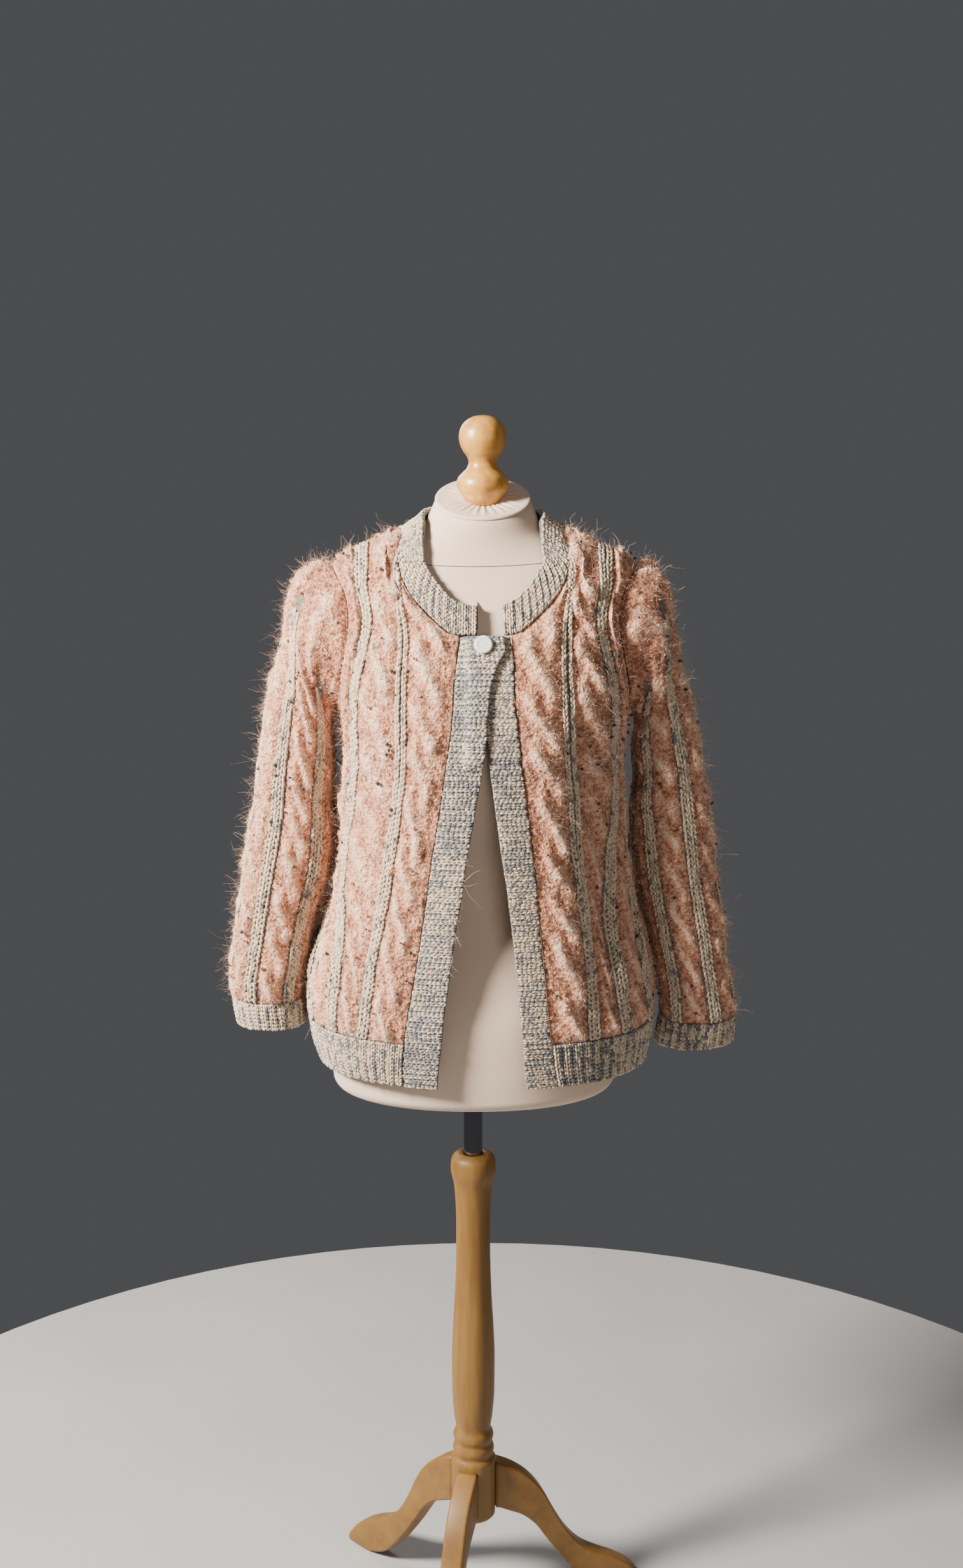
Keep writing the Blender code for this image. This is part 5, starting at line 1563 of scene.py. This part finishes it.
def back_cloth():
    base, phases, lengths = back_grid()
    grid, phase, length, normals = fine_panel(base, phases, lengths, BACK_FINE)
    rows, columns = grid.shape[:2]
    hand = np.where(np.arange(columns) < columns // 2, 1, -1)[None, :]
    has_chain = (phase < 3.5) | ((np.arange(rows)[:, None] < BACK_CHAIN_END * rows) & (phase < 4.5))
    rise = cable_relief(phase, length, hand, repeat_width(grid, phase), has_chain) * 0.9
    edge = edge_fade(rows, columns)
    outer = rough_cloth(grid + normals * WALL, normals, rise * edge, edge)
    lines = []
    for place in (1.5, 4.5, 7.5, 10.5):
        for side in (-1, 1):
            lines.append(((BACK_HALF + side * place) * BACK_FINE, BACK_CHAIN_END if place > 10 else 1.0))
    parts = chain_lines(outer, normals, lines, BACK_STITCH)
    pink_piece("back", outer, grid, normals, parts, rise)
    return base


SLEEVE_CHAIN_START = 0.12
SLEEVE_GROOVE_START = 3.6
SLEEVE_FIRST = 0.55
CAP_FROM = (0.0, 0.55, 4.55, 8.55, 12.0)
CAP_TO = (0.0, 0.30, 2.1, 7.2, 12.0)


def drawn_up(turn, row, before, after):
    """Where a line round the sleeve lies once the lines near the armhole close up to the shoulder."""
    folded = np.minimum(turn, SLEEVE_AROUND - turn) + 0 * row
    near = 1 - smooth((row - 1.5) / 8.5) + 0 * turn
    moved = folded * (1 - near) + curve(before, after, folded) * near
    return np.where(turn + 0 * row <= ARM_ROWS, moved, SLEEVE_AROUND - moved)


def sleeve_place(turn, row):
    """Where a line of the knit runs on a row of the sleeve."""
    return drawn_up(turn, row, CAP_FROM, CAP_TO)


def sleeve_turn(place, row):
    """The line of the knit that runs through a place on a row of the sleeve."""
    return drawn_up(place, row, CAP_TO, CAP_FROM)


def sleeve_cloth(side, name, table, outer_loop):
    base, lengths = sleeve_grid(side, table, outer_loop)
    grid = refine(base, FINE, FINE, around=True)
    length = refine_axis(lengths[:, None], FINE, 0)
    normals = outward(grid, around=True)
    rows, columns = grid.shape[:2]
    at_row = np.arange(rows)[:, None] / FINE
    turn = np.arange(columns)[None, :] / FINE
    phase = (sleeve_turn(turn, at_row) - SLEEVE_FIRST) * 6.0 / SLEEVE_AROUND
    has_chain = np.arange(rows)[:, None] > SLEEVE_GROOVE_START * FINE
    rise = cable_relief(phase, length + 0 * phase, side, repeat_width(grid, phase, True), has_chain)
    face = 0.25 + 0.75 * smooth((np.abs(turn - ARM_ROWS) - 1) / 3)
    fade = smooth((at_row - 0.2) / 1.8)
    edge = edge_fade(rows, columns, around=True)
    rise = rise * face * fade * edge
    outer = rough_cloth(grid, normals, rise, edge * face)
    gap = CHAIN_GAP / np.linalg.norm(outer[rows // 2, 1] - outer[rows // 2, 0])
    parts = []
    for k in range(6):
        line = sleeve_place(SLEEVE_FIRST + 4 * k, at_row[:, 0]) * FINE
        pair = (line - gap, line + gap)
        sizes = (SLEEVE_CHAIN_HALF, SLEEVE_STITCH, CHAIN_YARN, CHAIN_LIFT)
        parts.append(lay_wales(outer, normals, pair, *sizes, True, SLEEVE_CHAIN_START, 0.998))
    inner = grid - normals * WALL
    pink_piece(name, outer, inner, normals, parts, rise, True, 0.3 + 0.7 * face)
    return base


# half width of a rib's wale, length of a stitch, radius of the yarn
HEM_KNIT = (0.0028, 0.0050, 0.00150)
BAND_KNIT = (0.0017, 0.0055, 0.00115)
NECK_KNIT = (0.0025, 0.0050, 0.00145)
CUFF_KNIT = (0.0026, 0.0048, 0.00150)

# Marl offsets of a rib's ridge wales and furrow wales: painted light on the ridges, painted shade in the
# furrows
RIB_LIGHT_AND_SHADE = (-0.30, 0.55)
BAND_TONES = (-0.45, 0.55)
BAND_STRIPES = 49
HEM_RISE = RIB_RISE * 0.7
NECK_RISE = 0.0016
BAND_RISE = 0.0003
BAND_ROWS = 325
BAND_COLUMNS = 13
NECK_TURNS = 56
NECK_END_RIGHT = 1.6
NECK_END_LEFT = 4.9
CUFF_AROUND = 104


def ribbed(node, grid, normals, rise, knit_sizes, blue, around=False, swap=False):
    """Shell and stitches of a marl border. swap says that its wales run across it."""
    outer = grid + normals * (WALL + rise)[..., None]
    work, work_normals = outer, normals
    # Rib wales take turns: painted light on the ridges, painted shade in the furrows
    tones = RIB_LIGHT_AND_SHADE
    if swap:
        work, work_normals = outer.transpose(1, 0, 2), normals.transpose(1, 0, 2)
        tones = rng.normal(0, 0.22, 2 * BAND_STRIPES) + np.tile(BAND_TONES, BAND_STRIPES)
    places = np.arange(1, work.shape[1], 2)
    loose = 0.5 if swap else 0.15
    legs = lay_wales(work, work_normals, places, *knit_sizes, RIB_LIFT, around, tones=tones, loose=loose)
    knit = stitches(node + "_stitches", [legs], SEEDS[node], blue)
    # The shell under the stitches is dark as painted shade in the gaps
    cloth_shell(node, outer, grid, MARL_GAP_SHADE, around, 4)


def ribs(count):
    """Height of the ribs, from 0 to 1, with a rib on every second line."""
    return 0.5 - 0.5 * np.cos((np.arange(count) + 1) * math.pi / 2)


def hem_cloth(side, is_front, name):
    wales = int(round(FLAT[name][0] / HEM_WALE)) // 2 * 2 + 1
    heights = HEM_BOTTOM + (HEM_TOP - SEAM - HEM_BOTTOM) * np.linspace(0, 1, 10)
    places = np.linspace(0, 1, wales * 2 + 1)
    grid = np.zeros((len(heights), len(places), 3))
    for r, z in enumerate(heights):
        reach = side_length(z, is_front) - SEAM / 2
        start = band_edge(side, z) + EDGE_SEAM
        for c, place in enumerate(places):
            s = side * (start + (reach - start) * place) if is_front else reach * (2 * place - 1)
            grid[r, c] = shell_point(z, s, is_front)
    fade = np.minimum(1, np.arange(len(heights), 0, -1) / 2)[:, None]
    rise = HEM_RISE * ribs(len(places))[None, :] * fade
    ribbed(name, grid, outward(grid), rise, HEM_KNIT, 0.20)


STRAY_LOW = 0.94
STRAY_HIGH = 1.13
STRAYS = 90
STRAY_LENGTH = 0.036
STRAY_WIDTH = 0.00016


def band_cloth(side, name):
    table = RIGHT_BAND if side < 0 else LEFT_BAND
    heights = np.linspace(HEM_BOTTOM, BAND_TOP - SEAM, BAND_ROWS)
    shares = np.linspace(0, 1, BAND_COLUMNS)
    grid = np.zeros((len(heights), len(shares), 3))
    for r, z in enumerate(heights):
        free = float(column(table, 1, z))
        fixed = float(column(table, 2, z))
        for c, share in enumerate(shares):
            s = free + (fixed - free) * (1 - share)
            point = shell_point(z, s, True)
            lift = 0.0
            if side < 0:
                over = float(smooth((s + 0.024) / 0.010)) if share > 0 else 0.0
                lift = (WALL + LAP_ROOM) * over * float(smooth((z - LAP_BOTTOM + 0.02) / 0.02))
            grid[r, c] = point + shell_normal(point) * lift
    normals = outward(grid)
    ripple = 0.5 - 0.5 * np.cos(np.arange(len(heights)) * math.pi)
    rise = BAND_RISE * ripple[:, None] * np.ones(len(shares))[None, :]
    if side < 0:
        middle = smooth((heights - STRAY_LOW) / 0.03) * smooth((STRAY_HIGH - heights) / 0.03)
        weight = middle[:, None] * smooth((shares - 0.6) / 0.4)[None, :]
        skin = grid + normals * WALL
        FIBRE["long"].append(long_fibres(skin, normals, STRAYS, STRAY_LENGTH, STRAY_WIDTH, False, weight))
    # Marl darkness of the bands, with the wearer's right band painted darker than the left one as shade
    blue = 0.50 - 0.14 * side
    ribbed(name, grid, normals, rise, BAND_KNIT, blue, swap=True)


def neck_cloth():
    right = [-turn for turn in spread_turns(NECK_END_RIGHT, 180.0, NECK_TURNS)]
    turns = right + spread_turns(NECK_END_LEFT, 180.0, NECK_TURNS)[::-1][1:]
    fine = np.interp(np.arange(2 * len(turns) - 1) / 2, np.arange(len(turns)), turns)
    shares = np.linspace(0, 1, 9)
    grid = np.zeros((len(shares), len(fine), 3))
    for c, turn in enumerate(fine):
        angle = abs(turn)
        low = neck_height(angle)
        high = float(column(NECKLINE, 2, angle))
        for r, share in enumerate(shares):
            grid[r, c] = angle_point(low + (high - low) * share, turn)
        hand = math.copysign(1, turn)
        ahead, behind = (angle_point(neck_height(a), hand * a) for a in (angle + 0.2, angle - 0.2))
        away = np.cross(ahead - behind, shell_normal(grid[0, c])) * -hand
        grid[0, c] += unit(away) * (EDGE_SEAM + SEAM)
    rise = NECK_RISE * ribs(len(fine))[None, :] * np.minimum(1, np.arange(len(shares)) / 2)[:, None]
    ribbed("neckband", grid, outward(grid), rise, NECK_KNIT, 0.10)


def cuff_cloth(side, name, end_ring):
    start = resample_ring(end_ring, CUFF_AROUND)
    finish = resample_ring(sleeve_ring(CUFF_ENDS[side], side), CUFF_AROUND)
    first = start + unit(finish.mean(axis=0) - start.mean(axis=0)) * SEAM
    shares = np.linspace(0, 1, 8)
    grid = np.array([first + (finish - first) * t for t in shares])
    normals = outward(grid, around=True)
    rise = RIB_RISE * ribs(CUFF_AROUND)[None, :] * np.minimum(1, np.arange(len(shares)) / 1.5)[:, None]
    inner = grid - normals * WALL
    ribbed(name, inner, normals, rise, CUFF_KNIT, 0.10, around=True)


# Dress form and stand

SEAM_MIDDLE = 1.4385
SEAM_TILT = 0.0205
FORM_BOTTOM = 0.7580
FORM_EDGE_DRAW = 0.0180
FORM_EDGE_RISE = 0.0160
FORM_LEVELS = (0.778, 1.464)
NECK_DEPTH = 0.0530
THREAD = 0.00055
PLEATS = 27
CAP_AROUND = 216
TURNED_AROUND = 64
BUTTON_AROUND = 48
LEG_SOFT = 0.0040
STAND_TONE = 0.34


def fine_profile(table, count):
    """A turned profile as closely spaced points, read along its own length."""
    rows = np.array(table)
    length = run_of(rows)
    at = np.linspace(0, length[-1], count)
    return np.stack([curve(length, rows[:, 0], at), curve(length, rows[:, 1], at)], axis=1)


def add_piece(name, points, faces, made, node, body):
    obj = mesh_object(name, points, faces, [made])
    turn_outward(obj)
    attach(obj, body)
    if node:
        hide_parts(node)


def form_pieces(jersey, thread):
    rings = [circle(POLE_RADIUS + SEAM, z, POLE_X, FORM_AROUND) for z in (POLE_TOP + 0.0006, FORM_BOTTOM)]
    z, half, front, behind, power = FORM[0]
    for turn in np.linspace(0, 1, 12):
        a = turn * math.pi / 2
        draw = FORM_EDGE_DRAW * (1 - math.sin(a))
        level = z - FORM_EDGE_RISE * math.cos(a)
        rings.append(form_ring(level, half - draw, front - draw, behind - draw, power))
    for z in np.linspace(*FORM_LEVELS, 90):
        rings.append(form_level(z))
    turns = [2 * math.pi * i / FORM_AROUND for i in range(FORM_AROUND)]
    last = np.array(rings[-1])
    top = []
    for a in turns:
        y = NECK_DEPTH * math.sin(a)
        top.append((CAP_X + (NECK_RADIUS - 0.0006) * math.cos(a), y, cap_height(y) - CAP_THICK - SEAM))
    for share in np.linspace(0, 1, 9)[1:]:
        rings.append(last + (np.array(top) - last) * share)
    points, faces = loft([np.array(ring) for ring in rings])
    add_piece("form_cover", points, faces, jersey, "form_body", "dress_form")
    seam = []
    for i, a in enumerate(turns):
        seam.append(form_level(SEAM_MIDDLE - SEAM_TILT * math.cos(a + math.pi / 2 + 0.08))[i])
    seam = np.array(seam)
    away = unit((seam - seam.mean(axis=0)) * (1, 1, 0))
    tube = []
    for k in range(5):
        b = 2 * math.pi * k / 5
        up = np.array([0, 0, THREAD * math.sin(b)])
        tube.append(seam + away * (0.00025 + 0.00045 * math.cos(b)) + up)
    points = np.stack(tube, axis=1).reshape(-1, 3)
    faces = []
    for i in range(FORM_AROUND):
        j = (i + 1) % FORM_AROUND
        for k in range(5):
            m = (k + 1) % 5
            faces.append((i * 5 + k, j * 5 + k, j * 5 + m, i * 5 + m))
    add_piece("neck_seam", points, faces, thread, None, "dress_form")


def cap_piece(jersey):
    """The gathered cover of the neck's flat top."""
    sizes = rng.uniform(0.4, 1.0, PLEATS)
    shifts = rng.uniform(-0.25, 0.25, PLEATS)

    def ring(radius, lift, wave):
        made = []
        for i in range(CAP_AROUND):
            a = 2 * math.pi * i / CAP_AROUND
            y = radius * 0.93 * math.sin(a)
            turn = a / (2 * math.pi) * PLEATS
            k = int(turn) % PLEATS
            fold = (0.5 + 0.5 * math.cos(2 * math.pi * (turn - k - 0.5 + shifts[k] * 0.3))) ** 1.6 * sizes[k]
            made.append((CAP_X + radius * math.cos(a), y, cap_height(y) + lift + wave * fold))
        return made

    rings = [ring(NECK_RADIUS * 0.35, -CAP_THICK, 0.0), ring(NECK_RADIUS - 0.0014, -CAP_THICK, 0.0)]
    for draw, lift in ((0.0002, -0.0030), (0.0, -0.0018), (0.0006, -0.0008), (0.0022, -0.0001)):
        rings.append(ring(NECK_RADIUS - draw, lift, 0.0))
    for share in np.linspace(0, 1, 16)[1:]:
        radius = NECK_RADIUS - 0.0022 - share * (NECK_RADIUS * 0.62)
        wave = 0.0030 * smooth(share / 0.55) * (1 - 0.35 * share)
        rings.append(ring(radius, -0.0001 - 0.0016 * share, wave))
    points, faces = loft(rings)
    add_piece("cap_cover", points, faces, jersey, "neck_cap", "dress_form")


def turned_pieces(wood, dark_wood):
    rings = [[(x, y, cap_height(y) + 0.0004) for x, y, _ in circle(0.0225, 0.0, CAP_X, TURNED_AROUND)]]
    for radius, z in fine_profile(FINIAL, 60):
        ring = circle(radius, z, CAP_X, TURNED_AROUND)
        rings.append([(x, y, max(z, cap_height(y) + 0.0012)) for x, y, z in ring])
    points, faces = loft(rings)
    add_piece("finial_turned", points, faces, wood, "finial", "dress_form")
    profile = list(fine_profile(COLUMN[::-1], 130))
    profile.append((BORE_RADIUS + 0.0020, COLLAR_TOP + 0.0006))
    profile += [(BORE_RADIUS, COLLAR_TOP - 0.0010), (BORE_RADIUS, BORE_BOTTOM)]
    points, faces = loft([circle(radius, z, POLE_X, TURNED_AROUND) for radius, z in profile])
    add_piece("column_turned", points, faces, dark_wood, "column", "stand")


def fine_leg(degrees, name, wood):
    a = math.radians(degrees)
    ahead = np.array([math.cos(a), math.sin(a), 0])
    beside = np.array([-math.sin(a), math.cos(a), 0])
    rows = refine_axis(np.array(LEG), 5, 0)
    rings = []
    for n, (top_r, top_z, low_r, low_z) in enumerate(rows):
        half = LEG_HALF - 0.0004 * n / len(rows)
        top = np.array([top_r, top_z])
        low = np.array([low_r, max(low_z, 0.0)])
        down = unit(low - top)
        ring = []
        corners = ((-1, 1, top), (1, 1, top), (1, -1, low), (-1, -1, low))
        for corner, (hand, sink, place) in enumerate(corners):
            for step in range(5):
                b = math.pi / 2 * step / 4
                draw, fall = 1 - math.cos(b), 1 - math.sin(b)
                if corner % 2:
                    draw, fall = fall, draw
                over = hand * (half - LEG_SOFT * draw)
                radius, z = place + down * (sink * LEG_SOFT * fall)
                seat = math.sqrt(LEG_SEAT**2 - over**2)
                if n < 3:
                    radius = max(radius, seat) if n else seat
                spot = ahead * radius + beside * over
                ring.append((POLE_X + spot[0], spot[1], max(z, 0.0)))
        rings.append(ring)
    sole = rings[-1]
    for out, draw in ((0.0030, 0.75), (0.0046, 0.45)):
        dx, dy = ahead[:2] * out
        rings.append([(x + dx, y + dy, 0.0020 * (1 - draw) + z * draw) for x, y, z in sole])
    points, faces = loft(rings)
    add_piece(name + "_shaped", points, faces, wood, name, "stand")


# radius and height of the button's dished face
BUTTON_DISH = [(0.0078, 0.0039), (0.0066, 0.0036), (0.0050, 0.0034), (0.0030, 0.0034), (0.0012, 0.0035)]


def button_piece(pearl):
    place = shell_point(BUTTON_Z, BUTTON_S, True)
    normal = shell_normal(place)
    centre = place + normal * (2 * WALL + LAP_ROOM + BUTTON_LIFT)
    across = unit(np.cross((0, 0, 1.0), normal))
    up = np.cross(normal, across)
    profile = [(SHANK_RADIUS, -0.0062), (SHANK_RADIUS, 0.0), (BUTTON_RADIUS - 0.0022, 0.0)]
    for k in range(13):
        b = -math.pi / 2 + math.pi * k / 12
        radius = BUTTON_RADIUS - BUTTON_EDGE + BUTTON_EDGE * math.cos(b)
        profile.append((radius, BUTTON_EDGE + BUTTON_EDGE * math.sin(b)))
    profile += BUTTON_DISH
    turns = [2 * math.pi * i / BUTTON_AROUND for i in range(BUTTON_AROUND)]
    rings = []
    for radius, out in profile:
        middle = centre + normal * out
        rings.append([middle + radius * (across * math.cos(a) + up * math.sin(a)) for a in turns])
    points, faces = loft(rings)
    add_piece("button_domed", points, faces, pearl, "button", "dress_form")


# Studio

FOCAL_PIXELS = 3145.0
PHOTO_HEIGHT = 2462.0
SENSOR = 36.0
TILT_DOWN = 12.6


def studio():
    """Plain pale floor, a wide grey surround and soft lights."""
    bpy.ops.mesh.primitive_circle_add(vertices=96, radius=1.15, fill_type="NGON", location=(0, 0, -0.0005))
    floor = bpy.context.object
    floor.name = "floor"
    made, nodes, links, shader = shader_of("floor_pale", (0.45, 0.45, 0.45), 0.85)
    grain = noise_of(nodes, links, 3, 3)
    tint(nodes, links, shader, grain, (0.3, (0.43, 0.43, 0.43)), (0.7, (0.47, 0.47, 0.47)))
    floor.data.materials.append(made)
    scene = bpy.context.scene
    scene.world = bpy.data.worlds.new("studio")
    scene.world.use_nodes = True
    back = scene.world.node_tree.nodes["Background"]
    back.inputs["Color"].default_value = (0.078, 0.079, 0.084, 1)
    back.inputs["Strength"].default_value = 1.0

    def area(name, place, target, size, power, colour):
        data = bpy.data.lights.new(name, "AREA")
        data.shape = "DISK"
        data.size = size
        data.energy = power
        data.color = colour
        lamp = bpy.data.objects.new(name, data)
        scene.collection.objects.link(lamp)
        lamp.location = place
        way = Vector(target) - Vector(place)
        lamp.rotation_euler = way.to_track_quat("-Z", "Y").to_euler()

    area("key", (-1.95, -1.05, 2.35), (0, 0, 1.25), 0.65, 285, (1.0, 0.925, 0.83))
    area("fill", (1.0, -3.2, 1.9), (0, 0, 1.1), 2.0, 22, (1.0, 0.93, 0.86))
    area("rim", (-1.2, 2.2, 2.2), (0, 0, 1.2), 1.4, 30, (1.0, 0.98, 0.95))
    camera = bpy.data.cameras.new("camera")
    camera.sensor_fit = "VERTICAL"
    camera.sensor_height = SENSOR
    camera.lens = FOCAL_PIXELS / PHOTO_HEIGHT * SENSOR
    camera.clip_end = 50
    obj = bpy.data.objects.new("camera", camera)
    scene.collection.objects.link(obj)
    obj.location = (-0.0019, -2.372, 1.68)
    obj.rotation_euler = (math.radians(90 - TILT_DOWN), 0, 0)
    scene.camera = obj


# The whole


def garment():
    skins = {}
    for side, name in ((-1, "front_right"), (1, "front_left")):
        skins[side] = skin_of(front_cloth(side, name))
    back_skin = skin_of(back_cloth())
    for side, name, table in ((-1, "right", RIGHT_SLEEVE), (1, "left", LEFT_SLEEVE)):
        loop = armhole_loop(skins[side], back_skin[:, -1 if side > 0 else 0])
        rings = sleeve_cloth(side, "sleeve_" + name, table, loop)
        cuff_cloth(side, "cuff_" + name, rings[-1])
    for side, is_front, name in ((-1, True, "hem_right"), (1, True, "hem_left"), (1, False, "hem_back")):
        hem_cloth(side, is_front, name)
    band_cloth(-1, "buttonhole_band")
    band_cloth(1, "button_band")
    neck_cloth()


def fibres():
    shades = {
        "nap": hair_material("mohair_nap", (0.95, 0.60, 0.40), (0.74, 0.36, 0.205)),
        "long": hair_material("mohair_long", (0.97, 0.74, 0.54), (0.90, 0.55, 0.355)),
        "curl": hair_material("mohair_loops", (0.98, 0.76, 0.56), (0.74, 0.38, 0.22)),
    }
    for kind, parts in FIBRE.items():
        for k, part in enumerate(parts):
            worn(mesh_object(f"mohair_{kind}_{k}", *part, [shades[kind]], is_smooth=False))
    index = np.concatenate([part[2] for part in SPECKS])
    worn(mesh_object("mohair_flecks", *joined(SPECKS), FLECK_SHADES, index))


def form_and_stand():
    jersey = jersey_material("form_jersey_cover")
    form_pieces(jersey, hair_material("seam_thread", (0.16, 0.12, 0.10), (0.10, 0.08, 0.07)))
    cap_piece(jersey)
    dark_wood = wood_material("turned_beech_stand", 0.55, 0.08, tone=STAND_TONE)
    turned_pieces(wood_material("turned_beech", 0.38, 0.35), dark_wood)
    leg_wood = wood_material("leg_beech", 0.55, 0.08, (0.35, 0.35, 0.35), STAND_TONE)
    for name, degrees in LEG_DIRECTIONS:
        fine_leg(degrees, name, leg_wood)
    pearl, nodes, links, shader = shader_of("pearl_button", (0.88, 0.86, 0.84), 0.16)
    coat(shader, 0.6, 0.06)
    swirl = noise_of(nodes, links, 160, 3)
    tint(nodes, links, shader, swirl, (0.35, (0.80, 0.77, 0.74)), (0.65, (0.93, 0.92, 0.91)))
    button_piece(pearl)
    chrome, nodes, links, shader = shader_of("pole_chrome", (0.36, 0.36, 0.37), 0.12, 1.0)
    bump(nodes, links, shader, noise_of(nodes, links, 300, 1, 0.5, (1, 1, 0.02)), 0.03, 0.0002)
    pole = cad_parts["pole"]
    pole.data.materials.clear()
    pole.data.materials.append(chrome)


studio()
garment()
fibres()
form_and_stand()
